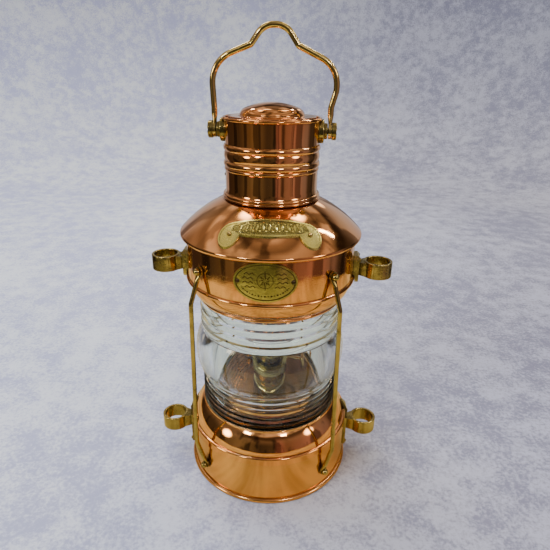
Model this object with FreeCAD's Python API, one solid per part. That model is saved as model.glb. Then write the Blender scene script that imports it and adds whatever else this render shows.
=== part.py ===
import FreeCAD, Part
import math
import os

# Ship's anchor lantern: a copper lamp body with a moulded glass drum lens, brass guard rods,
# wire-guide eyes and carrying bail, and an oil font with a flat-wick burner that drops out of
# the base. Millimetres. +Z is up, the lamp stands on z = 0, and its front faces -Y.

Vector = FreeCAD.Vector
UP = Vector(0, 0, 1)
ORIGIN = Vector(0, 0, 0)

# --- Driving dimensions: radii about the lamp's axis, heights above the foot ----------------
SHEET = 1.0
FIT = 0.05

FOOT_R = 81.0
FOOT_ROLL_Z = 4.4
BASE_R = 78.5
BASE_TOP_Z = 49.4
LIP_R = 79.5
LIP_BOTTOM_Z = 45.6
LIP_TOP_Z = 52.9

COLLAR_R = 53.75
COLLAR_BOTTOM_Z = 42.0
SEAT_Z = 71.0
SEAT_RIM_R = 66.8

LENS_INNER_R = 59.2
LENS_END_R = 64.2
LENS_BOTTOM_Z = 72.4
LENS_TOP_Z = 189.4
UPPER_SEAT_Z = LENS_TOP_Z + 1.4
BELT_BOTTOM_Z = 109.0
BELT_TOP_Z = 153.0
BELT_R = 71.6
BELT_FOOT_R = 67.0
BELT_HEAD_R = 65.6
BELT_HOLLOW_R = 62.0
BELT_HOLLOW_MARGIN = 2.0
RIB_VALLEY_R = 64.4
RIB_CREST_R = 66.0
RIB_CREST_SHARE = 0.84
LOWER_RIBS = 6
UPPER_RIBS = 4
RIBS_START_Z = 74.6
RIBS_END_Z = 184.6

BAND_R = 75.2
BAND_BOTTOM_Z = 202.6
BAND_TOP_Z = 243.0
BAND_RIM_R = 77.0

EAVE_R = 80.2
EAVE_Z = 245.0
DOME_TOP_R = 40.8
DOME_TOP_Z = 274.4

CHIMNEY_R = 39.2
CHIMNEY_FOOT_Z = 275.1
COLLAR_JOINT_Z = 307.2
CHIMNEY_TOP_Z = 341.0
RIM_R = 41.0
LID_R = 36.4
LID_Z = 340.6
LID_BRIM = 0.9
LID_SHOULDER_R = 8.0
LID_SHOULDER_CENTRE_R = 19.1
LID_CROWN_BALL_R = 58.0
LID_FOOT_LEAN = 78.0
LID_TOP_Z = 352.1

PIVOT_Z = 330.0
PIVOT_R = 2.5
PIVOT_BOSS_R = 9.6
PIVOT_HEAD_R = 7.0
PIVOT_SLOT = 1.4
BAIL_X = 47.5
BAIL_ROD_R = 2.5
BAIL_TOP_Z = 407.6
BAIL_BUMP_SHIFT = 1.5
BLEND_TOP_Z = PIVOT_Z + 12.5

ROD_R = 2.0
ROD_AZIMUTHS = (45, 135, 225, 315)
UPPER_STUD_Z = 224.0
LOWER_STUD_Z = 22.0
ROD_UPPER_BEND = (86.5, 197.0)
ROD_LOWER_BEND = (89.0, 54.0)
STUD_R = 1.6
ROD_BLEND = 8.5

UPPER_EYE_R = 97.6
LOWER_EYE_R = 99.4
LOWER_GUIDE_TWIST = 3.0
EYE_R = 13.0
EYE_HOLE_R = 10.5
EYE_HEIGHT = 14.5
UPPER_EYE_Z = 204.0
LOWER_EYE_Z = 26.0
FLANGE_HALF_WIDTH = 10.0
FLANGE_CORNER = 3.0
UPPER_FLANGE_R = 80.6
UPPER_FLANGE_BOTTOM_Z = 199.5
UPPER_FLANGE_TOP_Z = 224.5
LOWER_FLANGE_R = 81.6
LOWER_FLANGE_BOTTOM_Z = 7.5
LOWER_FLANGE_POINT_Z = 60.2
RIVET_R = 2.3
RIVET_TURN = 5.0

PLATE = 1.2
PLATE_GAP = 0.1
PLATE_BORDER = 1.2
PLATE_FIELD_DEPTH = 0.35
OVAL_HALF_WIDTH = 25.1
OVAL_HALF_HEIGHT = 16.4
OVAL_Z = 225.5
OVAL_TWIST = 1.0
OVAL_SCREW_X = 21.5
ARCH_TOP_R = 53.1
ARCH_OUTER_R = 67.2
ARCH_LOBE_R = 8.8
ARCH_LOBE_X = 31.2
ARCH_LOBE_Y = -60.2
ARCH_TWIST = 3.2

FONT_R = 53.0
FONT_BOTTOM_Z = 12.0
FONT_EDGE_Z = 74.0
FONT_NECK_R = 14.0
FONT_NECK_Z = 83.0
TRAY_R = 76.6
TRAY_Z = 9.0
BURNER_FOOT_Z = FONT_NECK_Z + 3.5
DECK_Z = BURNER_FOOT_Z + 13.65
BURNER_TOP_Z = 124.0
KNOB_Z = 95.0
SPUR_R = 5.0
SPINDLE_R = 1.25
WICK_WIDTH = 16.0
WICK_THICK = 2.4
WICK_FOOT_Z = 24.0
SPINDLE_Y = WICK_THICK / 2 + 0.15 + SPUR_R
FILLER_X = -26.0
FILLER_Y = 26.0
FILLER_NECK_R = 5.5
FILLER_NECK_TOP_Z = 85.0
FILLER_SEAL = 1.2


# --- Shared helpers ---------------------------------------------------------------------------
def on_radius(step):
    """Point of an outline, given as (radius, height), in the XZ plane."""
    return Vector(step[0], 0, step[1])


def is_arc(step):
    return isinstance(step[0], tuple)


def outline_edges(steps, place):
    """Edges of a closed outline. A step is a corner, or an arc given as (through, end)."""
    edges = []
    here = steps[0]
    for step in list(steps[1:]) + [steps[0]]:
        if is_arc(step):
            through, end = step
            edges.append(Part.Arc(place(here), place(through), place(end)).toShape())
            here = end
        elif step != here:
            edges.append(Part.makeLine(place(here), place(step)))
            here = step
    return edges


def turned(*steps):
    """Solid turned about the lamp's axis from a closed outline of (radius, height) steps."""
    face = Part.Face(Part.Wire(outline_edges(steps, on_radius)))
    return face.revolve(ORIGIN, UP, 360)


def prism(steps, place, push):
    """Straight prism of a closed outline."""
    face = Part.Face(Part.Wire(outline_edges(steps, place)))
    return face.extrude(push)


def tube(outer_r, inner_r, bottom_z, top_z):
    return turned((inner_r, bottom_z), (outer_r, bottom_z), (outer_r, top_z), (inner_r, top_z))


def fused(first, *others):
    return first.multiFuse(list(others)).removeSplitter()


def turn_about_axis(shape, degrees):
    """Copy of a shape turned about the lamp's axis."""
    copy = shape.copy()
    copy.rotate(ORIGIN, UP, degrees)
    return copy


def around(shape, azimuths):
    """Copies of a shape, drawn at azimuth 0, at each azimuth."""
    return [turn_about_axis(shape, azimuth) for azimuth in azimuths]


def group(shapes):
    """Separate solids that share one node."""
    return Part.makeCompound(shapes)


def filleted_path(points, radii):
    """Wire of straight runs joined by tangent arcs, one radius for each inner point."""
    edges = []
    here = points[0]
    for i, radius in enumerate(radii, start=1):
        corner = points[i]
        back = (points[i - 1] - corner).normalize()
        ahead = (points[i + 1] - corner).normalize()
        half = back.getAngle(ahead) / 2
        reach = radius / math.tan(half)
        start = corner + back * reach
        end = corner + ahead * reach
        middle = (back + ahead).normalize()
        through = corner + middle * (radius / math.sin(half) - radius)
        edges.append(Part.makeLine(here, start))
        edges.append(Part.Arc(start, through, end).toShape())
        here = end
    edges.append(Part.makeLine(here, points[-1]))
    return Part.Wire(edges)


def bent_rod(points, radii, rod_r):
    """Round rod along a filleted path."""
    path = filleted_path(points, radii)
    direction = (points[1] - points[0]).normalize()
    section = Part.Wire(Part.makeCircle(rod_r, points[0], direction))
    return path.makePipeShell([section], True, False)


def pin_along(centre, axis, steps):
    """Solid turned about any axis; its outline's heights run along the axis from centre."""
    solid = turned(*steps)
    solid.Placement = FreeCAD.Placement(centre, FreeCAD.Rotation(UP, axis))
    return solid


def radial_pin(radius, z, steps):
    """Pin at azimuth 0 that points away from the lamp, with its outline's foot at radius."""
    return pin_along(Vector(radius, 0, z), Vector(1, 0, 0), steps)


def crown(foot_r, foot_z, top_z):
    """Outline arc, up from (foot_r, foot_z), of a ball-shaped crown whose top is on the axis."""
    height = top_z - foot_z
    ball_r = (foot_r ** 2 + height ** 2) / (2 * height)
    centre_z = top_z - ball_r
    half = math.atan2(foot_r, foot_z - centre_z) / 2
    return ((ball_r * math.sin(half), centre_z + ball_r * math.cos(half)), (0, top_z))


def ellipse_face(half_x, half_z, centre):
    """Upright elliptical face, facing the front."""
    ellipse = Part.Ellipse(ORIGIN, half_x, half_z)
    face = Part.Face(Part.Wire(ellipse.toShape()))
    face.rotate(ORIGIN, Vector(1, 0, 0), 90)
    face.translate(centre)
    return face


# --- Base ---------------------------------------------------------------------------------------
def base_band():
    """Skirt of the base: rolled foot at the bottom, tucked into the shoulder's lip on top."""
    inner = BASE_R - SHEET
    return turned(
        (inner, 0),
        (BASE_R + 0.8, 0),
        ((FOOT_R, FOOT_ROLL_Z / 2), (BASE_R, FOOT_ROLL_Z)),
        (BASE_R, BASE_TOP_Z),
        (inner, BASE_TOP_Z))


def base_shoulder():
    """Spun shoulder: lip over the skirt, crowned cone, lens seat, and collar for the font."""
    lip_inner = BASE_R + FIT
    return turned(
        (LIP_R, LIP_BOTTOM_Z),
        (LIP_R, 50.9),
        ((79.0, 52.4), (77.9, LIP_TOP_Z)),
        (76.9, LIP_TOP_Z),
        ((72.9, 63.3), (SEAT_RIM_R, 71.7)),
        (SEAT_RIM_R, 73.2),
        ((SEAT_RIM_R - 0.5, 73.7), (SEAT_RIM_R - 1.0, 73.2)),
        (SEAT_RIM_R - 1.0, SEAT_Z),
        (COLLAR_R, SEAT_Z),
        (COLLAR_R, COLLAR_BOTTOM_Z),
        (COLLAR_R + SHEET, COLLAR_BOTTOM_Z),
        (COLLAR_R + SHEET, SEAT_Z - SHEET),
        (65.8, SEAT_Z - SHEET),
        ((71.9, 62.6), (76.0, 51.8)),
        (77.7, 51.8),
        ((78.3, 51.5), (lip_inner, 50.8)),
        (lip_inner, LIP_BOTTOM_Z))


def lower_gasket():
    return tube(65.4, LENS_INNER_R - 0.6, SEAT_Z, LENS_BOTTOM_Z)


# --- Lens ---------------------------------------------------------------------------------------
def rib_steps(bottom_z, pitch):
    """One moulded rib: its face crowns outwards as it rises, then steps back in."""
    middle_r = RIB_VALLEY_R + 0.72 * (RIB_CREST_R - RIB_VALLEY_R)
    crest = (RIB_CREST_R, bottom_z + pitch * RIB_CREST_SHARE)
    return [((middle_r, bottom_z + pitch / 2), crest), (RIB_VALLEY_R, bottom_z + pitch)]


def lens_glass():
    """Moulded drum lens: ribbed below and above a clear belt, crowned outside, hollow inside."""
    lower_pitch = (BELT_BOTTOM_Z - RIBS_START_Z) / LOWER_RIBS
    upper_pitch = (RIBS_END_Z - BELT_TOP_Z) / UPPER_RIBS
    belt_middle_z = (BELT_BOTTOM_Z + BELT_TOP_Z) / 2
    hollow_top = (LENS_INNER_R, BELT_TOP_Z - BELT_HOLLOW_MARGIN)
    hollow_bottom = (LENS_INNER_R, BELT_BOTTOM_Z + BELT_HOLLOW_MARGIN)
    steps = [(LENS_END_R, LENS_BOTTOM_Z), (LENS_END_R, RIBS_START_Z), (RIB_VALLEY_R, RIBS_START_Z)]
    for i in range(LOWER_RIBS):
        steps += rib_steps(RIBS_START_Z + i * lower_pitch, lower_pitch)
    steps.append((BELT_FOOT_R, BELT_BOTTOM_Z))
    steps.append(((BELT_R, belt_middle_z), (BELT_HEAD_R, BELT_TOP_Z)))
    steps.append((RIB_VALLEY_R, BELT_TOP_Z))
    for i in range(UPPER_RIBS):
        steps += rib_steps(BELT_TOP_Z + i * upper_pitch, upper_pitch)
    steps += [(LENS_END_R, RIBS_END_Z), (LENS_END_R, LENS_TOP_Z)]
    steps += [(LENS_INNER_R, LENS_TOP_Z), hollow_top]
    steps += [((BELT_HOLLOW_R, belt_middle_z), hollow_bottom), (LENS_INNER_R, LENS_BOTTOM_Z)]
    return turned(*steps)


# --- Upper body -----------------------------------------------------------------------------------
def glass_top_ring():
    """Bowl-shaped copper ring that takes the lens's top and closes the upper band from below."""
    bore = LENS_END_R + 0.3
    return turned(
        (bore, 184.9),
        (65.9, 184.9),
        ((66.7, 186.0), (66.2, 187.4)),
        ((71.7, 193.8), (BAND_R - SHEET - FIT, 203.2)),
        (BAND_R - SHEET - FIT, 215.0),
        (BAND_R - 2 * SHEET, 215.0),
        (BAND_R - 2 * SHEET, 203.6),
        ((71.0, 196.2), (69.0, UPPER_SEAT_Z + SHEET)),
        (60.6, UPPER_SEAT_Z + SHEET),
        (60.6, UPPER_SEAT_Z),
        (bore, UPPER_SEAT_Z))


def upper_gasket():
    return tube(LENS_END_R + 0.1, LENS_INNER_R + 1.5, LENS_TOP_Z, UPPER_SEAT_Z)


def upper_band():
    """Straight copper band with a rolled lower rim."""
    inner = BAND_R - SHEET
    return turned(
        (inner, BAND_BOTTOM_Z),
        (BAND_R + 0.2, BAND_BOTTOM_Z),
        ((BAND_RIM_R, BAND_BOTTOM_Z + 2.0), (BAND_R, BAND_BOTTOM_Z + 4.0)),
        (BAND_R, BAND_TOP_Z),
        (inner, BAND_TOP_Z))


def dome_outline(offset):
    """Outer outline of the dome from the eave up, moved outwards by offset: (start, through, end)."""
    return (
        (EAVE_R - 0.9 + 0.7 * offset, EAVE_Z + 1.8 + 0.7 * offset),
        (61.9 + 0.57 * offset, 262.4 + 0.82 * offset),
        (DOME_TOP_R + 0.5 * offset, DOME_TOP_Z + 0.87 * offset))


def dome_shell():
    """Spun dome: rolled eave that sits over the band, crowned to the chimney."""
    start, through, end = dome_outline(0)
    inner_start, inner_through, inner_end = dome_outline(-SHEET)
    fit_r = BAND_R + FIT
    return turned(
        (fit_r, 242.0),
        (78.2, 242.6),
        ((EAVE_R, EAVE_Z), start),
        (through, end),
        (DOME_TOP_R - 2.4, end[1] + 0.6),
        (DOME_TOP_R - 2.4, end[1] - 0.5),
        inner_end,
        (inner_through, inner_start),
        (76.6, BAND_TOP_Z + 0.6),
        (fit_r, BAND_TOP_Z + 0.6))


def smoke_funnel():
    """Inner cone that gathers the smoke into the chimney."""
    return turned(
        (73.0, 236.0),
        (74.15, 236.0),
        (74.15, 238.0),
        (37.6, 268.0),
        (37.6, 290.0),
        (36.9, 290.0),
        (36.9, 267.4),
        (73.0, 237.4))


# --- Chimney --------------------------------------------------------------------------------------
def chimney_lower_tube():
    """Lower chimney: flared foot bead, plain wall, two swaged beads and a spigot."""
    spigot = CHIMNEY_R - SHEET - FIT
    inner = spigot - SHEET
    return turned(
        (38.2, CHIMNEY_FOOT_Z),
        (41.2, CHIMNEY_FOOT_Z),
        ((41.9, 276.0), (41.0, 277.2)),
        ((41.3, 278.6), (39.9, 279.9)),
        (CHIMNEY_R, 281.2),
        (CHIMNEY_R, 298.4),
        ((40.0, 299.9), (39.3, 301.4)),
        ((40.6, 304.1), (39.4, 306.8)),
        (spigot, 306.8),
        (spigot, 319.0),
        (inner, 319.0),
        (inner, 303.0),
        (38.2, 302.0))


def chimney_upper_collar():
    """Upper chimney: crowned belt, bead and slightly flared wall with a rolled rim."""
    inner = CHIMNEY_R - SHEET
    return turned(
        (inner, COLLAR_JOINT_Z),
        (39.5, COLLAR_JOINT_Z),
        ((40.2, 310.9), (39.4, 314.5)),
        ((40.6, 317.2), (39.1, 320.0)),
        (39.1, 322.0),
        (39.7, 338.2),
        ((RIM_R, 339.0), (RIM_R - 0.3, 340.4)),
        ((RIM_R - 1.3, CHIMNEY_TOP_Z), (RIM_R - 2.3, 340.2)),
        (38.7, 338.2),
        (inner, 322.0))


def lid_skin(inset):
    """Steps up the lid's dome, moved inwards by inset: foot, shoulder arc, tangent crown arc."""
    foot_lean = math.radians(LID_FOOT_LEAN)
    span = LID_CROWN_BALL_R - LID_SHOULDER_R
    crown_centre_z = LID_TOP_Z - LID_CROWN_BALL_R
    join_lean = math.asin(LID_SHOULDER_CENTRE_R / span)
    shoulder_centre_z = crown_centre_z + span * math.cos(join_lean)

    def on_arc(centre_r, centre_z, radius, lean):
        return (centre_r + radius * math.sin(lean), centre_z + radius * math.cos(lean))

    def on_shoulder(lean):
        return on_arc(LID_SHOULDER_CENTRE_R, shoulder_centre_z, LID_SHOULDER_R - inset, lean)
    crown_through = on_arc(0, crown_centre_z, LID_CROWN_BALL_R - inset, join_lean / 2)
    shoulder = (on_shoulder((foot_lean + join_lean) / 2), on_shoulder(join_lean))
    return on_shoulder(foot_lean), shoulder, (crown_through, (0, LID_TOP_Z - inset))


def lid_dome():
    """Domed lid with a flat brim, over the chimney's mouth."""
    inner_foot, inner_shoulder, inner_crown = lid_skin(SHEET)
    foot, shoulder, crown_arc = lid_skin(0)
    brim_z = LID_Z + LID_BRIM
    return turned(
        (inner_foot[0], LID_Z),
        inner_foot,
        inner_shoulder,
        inner_crown,
        crown_arc[1],
        (crown_arc[0], shoulder[1]),
        (shoulder[0], foot),
        ((foot[0] + 0.3, brim_z + 0.2), (foot[0] + 0.9, brim_z)),
        (LID_R - 0.4, brim_z),
        ((LID_R, LID_Z + LID_BRIM / 2), (LID_R - 0.4, LID_Z)))


def lid_stays():
    """Three copper straps that hold the lid's brim off the chimney wall."""
    strap = prism(
        ((30.0, LID_Z), (30.0, LID_Z - 0.9), (36.2, 336.4), (36.2, 324.0), (38.0, 324.0),
         (38.0, 336.6), (36.9, 337.6), (31.2, LID_Z)),
        lambda step: Vector(step[0], -4.0, step[1]),
        Vector(0, 8.0, 0))
    wall = Part.makeCylinder(CHIMNEY_R - SHEET - FIT, 40, Vector(0, 0, 310))
    return group(around(strap.common(wall), (90, 210, 330)))


def chimney_screw():
    """Small round-headed screw in the left side of the chimney."""
    screw = radial_pin(CHIMNEY_R + 0.05, 293.0, ((0, 0), (1.7, 0), crown(1.7, 0, 1.3)))
    return turn_about_axis(screw, 180)


# --- Bail and its pivots ------------------------------------------------------------------------
def pivot_boss(side):
    """Stepped brass disc on the chimney wall, bored for the pivot screw."""
    bore = PIVOT_R + FIT
    boss = radial_pin(36.0, PIVOT_Z, (
        (bore, 0),
        (PIVOT_BOSS_R, 0),
        (PIVOT_BOSS_R, 5.8),
        ((PIVOT_BOSS_R - 0.3, 6.5), (PIVOT_BOSS_R - 1.0, 6.8)),
        (6.4, 6.8),
        (6.4, 8.8),
        ((6.2, 9.3), (5.7, 9.5)),
        (bore, 9.5)))
    chimney = turned(
        (0, 315), (39.2, 315), (39.2, 322), (39.8, 338.2), (41.2, 338.2), (41.2, 345), (0, 345))
    return turn_about_axis(boss.cut(chimney), side)


def pivot_screw(side):
    """Slotted screw that the bail's eye turns on."""
    screw = radial_pin(39.6, PIVOT_Z, (
        (0, 0),
        (PIVOT_R, 0),
        (PIVOT_R, 9.6),
        (PIVOT_HEAD_R - 0.1, 9.6),
        ((PIVOT_HEAD_R, 10.1), (PIVOT_HEAD_R, 10.6)),
        (PIVOT_HEAD_R, 12.4),
        ((PIVOT_HEAD_R - 0.2, 13.0), (PIVOT_HEAD_R - 0.8, 13.3)),
        (0, 13.6)))
    slot = Part.makeBox(2.0, 16.0, PIVOT_SLOT, Vector(52.3, -8.0, PIVOT_Z - PIVOT_SLOT / 2))
    return turn_about_axis(screw.cut(slot), side)


def bail_eye(x):
    """Flattened eye of the bail, with the blend from flat to round above it."""
    half = 1.2
    eye = Part.makeCylinder(6.3, 2 * half, Vector(x - half, 0, PIVOT_Z), Vector(1, 0, 0))
    flat = Part.Ellipse(ORIGIN, 4.4, half)
    flat_wire = Part.Wire(flat.toShape())
    flat_wire.rotate(ORIGIN, UP, 90)
    flat_wire.translate(Vector(x, 0, PIVOT_Z + 3.6))
    round_wire = Part.Wire(Part.makeCircle(BAIL_ROD_R, Vector(x, 0, BLEND_TOP_Z), UP))
    blend = Part.makeLoft([flat_wire, round_wire], True)
    hole = Part.makeCylinder(PIVOT_R + FIT, 8, Vector(x - 4, 0, PIVOT_Z), Vector(1, 0, 0))
    return eye.fuse(blend).cut(hole)


def bail():
    """Bent brass rod with a raised hook rest in the middle and a flattened eye at each end."""
    shift = BAIL_BUMP_SHIFT
    top = BAIL_TOP_Z
    corners = (
        (-BAIL_X, BLEND_TOP_Z), (-BAIL_X, BLEND_TOP_Z + 4.5), (-49.0, top - 26.0),
        (-18.5 + shift, top - 13.6), (-8.7 + shift, top), (8.7 + shift, top),
        (18.5 + shift, top - 14.4), (51.2, top - 29.0), (51.0, PIVOT_Z + 31.0),
        (BAIL_X, BLEND_TOP_Z + 6.0), (BAIL_X, BLEND_TOP_Z))
    points = [Vector(x, 0, z) for x, z in corners]
    rod = bent_rod(points, (12.0, 24.0, 3.2, 15.0, 15.0, 3.2, 22.0, 14.0, 8.0), BAIL_ROD_R)
    return fused(rod, bail_eye(-BAIL_X), bail_eye(BAIL_X))


# --- Guards and guides ------------------------------------------------------------------------------
def rod_eye(radius, z, direction):
    """Flattened end of a guard rod, with the blend to the round rod along direction."""
    half = 0.9
    disc = Part.makeCylinder(4.0, 2 * half, Vector(radius - half, 0, z), Vector(1, 0, 0))
    turn = FreeCAD.Rotation(UP, direction)
    flat = Part.Wire(Part.Ellipse(ORIGIN, 3.4, half).toShape())
    flat.rotate(ORIGIN, UP, 90)
    centre = Vector(radius, 0, z)
    flat.Placement = FreeCAD.Placement(centre + direction * 1.5, turn).multiply(flat.Placement)
    whole = Part.Wire(Part.makeCircle(ROD_R, centre + direction * ROD_BLEND, direction))
    return disc.fuse(Part.makeLoft([flat, whole], True))


def stud_space(radius, z):
    """Bore for a stud's shank and spot face for its head, in a guard rod's end."""
    bore = Part.makeCylinder(STUD_R + FIT, 8, Vector(radius - 4, 0, z), Vector(1, 0, 0))
    face = Part.makeCylinder(3.5, 8, Vector(radius + 0.95, 0, z), Vector(1, 0, 0))
    return bore.fuse(face)


def guard_rod():
    """Guard rod at azimuth 0, from the upper stud down to the lower one."""
    upper_r = BAND_R + 1.5
    lower_r = BASE_R + 1.5
    upper_dir = Vector(ROD_UPPER_BEND[0] - upper_r, 0, ROD_UPPER_BEND[1] - UPPER_STUD_Z).normalize()
    lower_dir = Vector(ROD_LOWER_BEND[0] - lower_r, 0, ROD_LOWER_BEND[1] - LOWER_STUD_Z).normalize()
    start = Vector(upper_r, 0, UPPER_STUD_Z) + upper_dir * ROD_BLEND
    end = Vector(lower_r, 0, LOWER_STUD_Z) + lower_dir * ROD_BLEND
    points = [start, on_radius(ROD_UPPER_BEND), on_radius(ROD_LOWER_BEND), end]
    rod = bent_rod(points, (9.0, 9.0), ROD_R)
    upper_eye = rod_eye(upper_r, UPPER_STUD_Z, upper_dir)
    lower_eye = rod_eye(lower_r, LOWER_STUD_Z, lower_dir)
    whole = fused(rod, upper_eye, lower_eye)
    return whole.cut(stud_space(upper_r, UPPER_STUD_Z)).cut(stud_space(lower_r, LOWER_STUD_Z))


def guard_stud(wall_r, z):
    """Ball-headed stud through a guard rod's eye, riveted over inside the wall."""
    inner = -SHEET - 0.2
    return radial_pin(wall_r, z, (
        (0, inner - 1.1),
        (1.6, inner - 1.1),
        ((2.5, inner - 0.8), (2.9, inner)),
        (STUD_R, inner),
        (STUD_R, 2.5),
        (2.7, 2.5),
        crown(2.7, 2.5, 7.2)))


def stud_holes(wall_r, z):
    """Drills for the studs at the four guard rods."""
    drill = Part.makeCylinder(STUD_R + FIT, 8, Vector(wall_r - 5, 0, z), Vector(1, 0, 0))
    return around(drill, ROD_AZIMUTHS)


def guide_ring(centre_r, z):
    """Round eye of a wire guide, with softened edges and a clear bore."""
    soft = 0.7
    top = z + EYE_HEIGHT
    steps = (
        (EYE_HOLE_R, z + soft),
        ((EYE_HOLE_R + 0.2, z + 0.2), (EYE_HOLE_R + soft, z)),
        (EYE_R - soft, z),
        ((EYE_R - 0.2, z + 0.2), (EYE_R, z + soft)),
        (EYE_R, top - soft),
        ((EYE_R - 0.2, top - 0.2), (EYE_R - soft, top)),
        (EYE_HOLE_R + soft, top),
        ((EYE_HOLE_R + 0.2, top - 0.2), (EYE_HOLE_R, top - soft)))
    ring = turned(*steps)
    ring.translate(Vector(centre_r, 0, 0))
    return ring


def guide_arm(root_r, centre_r, z):
    """Neck between the flange and the eye, waisted at the flange."""
    def section(x, half_y, low, high):
        corners = [Vector(x, -half_y, low), Vector(x, half_y, low),
                   Vector(x, half_y, high), Vector(x, -half_y, high)]
        return Part.makePolygon(corners + [corners[0]])
    near = section(root_r, 4.6, z + 1.6, z + EYE_HEIGHT - 1.4)
    far = section(centre_r - EYE_R + 3.0, 7.4, z + 0.3, z + EYE_HEIGHT - 0.3)
    arm = Part.makeLoft([near, far], True, True)
    bore = Part.makeCylinder(EYE_R - 0.6, 60, Vector(centre_r, 0, z - 20))
    return arm.cut(bore)


def flange_blank(steps):
    """Flange outline seen from outside, as (half width across, height), pushed through the wall."""
    mirrored = []
    for step in reversed(steps):
        mirrored.append((-step[0], step[1]))
    return prism(
        tuple(steps) + tuple(mirrored),
        lambda step: Vector(60, step[0], step[1]),
        Vector(40, 0, 0))


def guide_eye_upper():
    """Upper wire guide at azimuth 0: eye, neck and a flange that clears the band's rolled rim."""
    top = UPPER_FLANGE_TOP_Z
    bottom = UPPER_FLANGE_BOTTOM_Z
    face_r = UPPER_FLANGE_R
    w = FLANGE_HALF_WIDTH
    corner = FLANGE_CORNER
    back = turned(
        (BAND_R + 0.1, 207.4), (BAND_RIM_R + 0.2, 206.6), (BAND_RIM_R + 0.2, bottom),
        (face_r - 1.0, bottom), ((face_r - 0.3, bottom + 0.4), (face_r, bottom + 1.2)),
        (face_r, top - 2.0), ((face_r - 0.6, top - 0.5), (face_r - 2.0, top)), (BAND_R + 0.1, top))
    flange = back.common(flange_blank([
        (w - corner, bottom), (w, bottom + corner), (w, top - corner), (w - corner, top)]))
    arm = guide_arm(face_r - 1.0, UPPER_EYE_R, UPPER_EYE_Z)
    return fused(flange, arm, guide_ring(UPPER_EYE_R, UPPER_EYE_Z))


def guide_eye_lower():
    """Lower wire guide at azimuth 0: the flange's pointed top lies over the shoulder's lip."""
    bottom = LOWER_FLANGE_BOTTOM_Z
    face_r = LOWER_FLANGE_R
    w = FLANGE_HALF_WIDTH
    corner = FLANGE_CORNER
    back = turned(
        (BASE_R + 0.1, bottom), (face_r - 1.0, bottom),
        ((face_r - 0.3, bottom + 0.4), (face_r, bottom + 1.2)),
        (face_r, 49.5), ((81.0, 53.2), (78.9, 56.6)), (76.2, 60.6), (74.8, 59.9),
        (78.3, 53.3), (LIP_R + 0.15, 52.0), (LIP_R + 0.15, 45.3), (BASE_R + 0.1, 45.0))
    flange = back.common(flange_blank([
        (w - corner, bottom), (w, bottom + corner), (w, 44.0), (2.2, LOWER_FLANGE_POINT_Z)]))
    arm = guide_arm(face_r - 1.0, LOWER_EYE_R, LOWER_EYE_Z)
    return fused(flange, arm, guide_ring(LOWER_EYE_R, LOWER_EYE_Z))


def guide_rivets():
    """Dome-headed rivets of the four wire-guide flanges."""
    def rivet(face_r, z, degrees):
        steps = ((0, 0), (RIVET_R, 0), crown(RIVET_R, 0, 1.5))
        return turn_about_axis(radial_pin(face_r + FIT, z, steps), degrees)
    rivets = []
    for side in (0, 180):
        lower_side = side + LOWER_GUIDE_TWIST
        for turn in (-RIVET_TURN, RIVET_TURN):
            rivets.append(rivet(UPPER_FLANGE_R, UPPER_FLANGE_TOP_Z - 3.5, side + turn))
            rivets.append(rivet(LOWER_FLANGE_R, LOWER_FLANGE_BOTTOM_Z + 5.0, lower_side + turn))
        rivets.append(rivet(LOWER_FLANGE_R, 47.0, lower_side))
    return group(rivets)


# --- Name plates -----------------------------------------------------------------------------------
def oval_plate():
    """Blank oval plate bent round the front of the band, with a raised border."""
    def oval(shrink):
        half_x = OVAL_HALF_WIDTH - shrink
        half_z = OVAL_HALF_HEIGHT - shrink
        return ellipse_face(half_x, half_z, Vector(0, -95, OVAL_Z)).extrude(Vector(0, 40, 0))
    inner = BAND_R + PLATE_GAP
    field_r = inner + PLATE - PLATE_FIELD_DEPTH
    low = OVAL_Z - 20
    high = OVAL_Z + 20
    plate = tube(inner + PLATE, inner, low, high).common(oval(0))
    recess = tube(inner + PLATE + 1, field_r, low, high).common(oval(PLATE_BORDER))
    return turn_about_axis(plate.cut(recess), OVAL_TWIST)


def oval_plate_screws():
    """Two dark screws near the oval plate's ends, each with a slot."""
    shapes = []
    for side in (-1, 1):
        angle = math.degrees(math.asin(side * OVAL_SCREW_X / BAND_R)) + OVAL_TWIST
        screw = radial_pin(BAND_R + PLATE - 0.2, OVAL_Z, ((0, 0), (1.9, 0), crown(1.9, 0, 1.0)))
        slot = Part.makeBox(1.0, 6.0, 0.6, Vector(BAND_R + PLATE + 0.4, -3.0, OVAL_Z - 0.3))
        shapes.append(turn_about_axis(screw.cut(slot), -90 + angle))
    return group(shapes)


def dome_skin(low, high):
    """Layer between two offsets outside the dome."""
    start, through, end = dome_outline(low)
    outer_start, outer_through, outer_end = dome_outline(high)
    return turned(start, (through, end), outer_end, (outer_through, outer_start))


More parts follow.
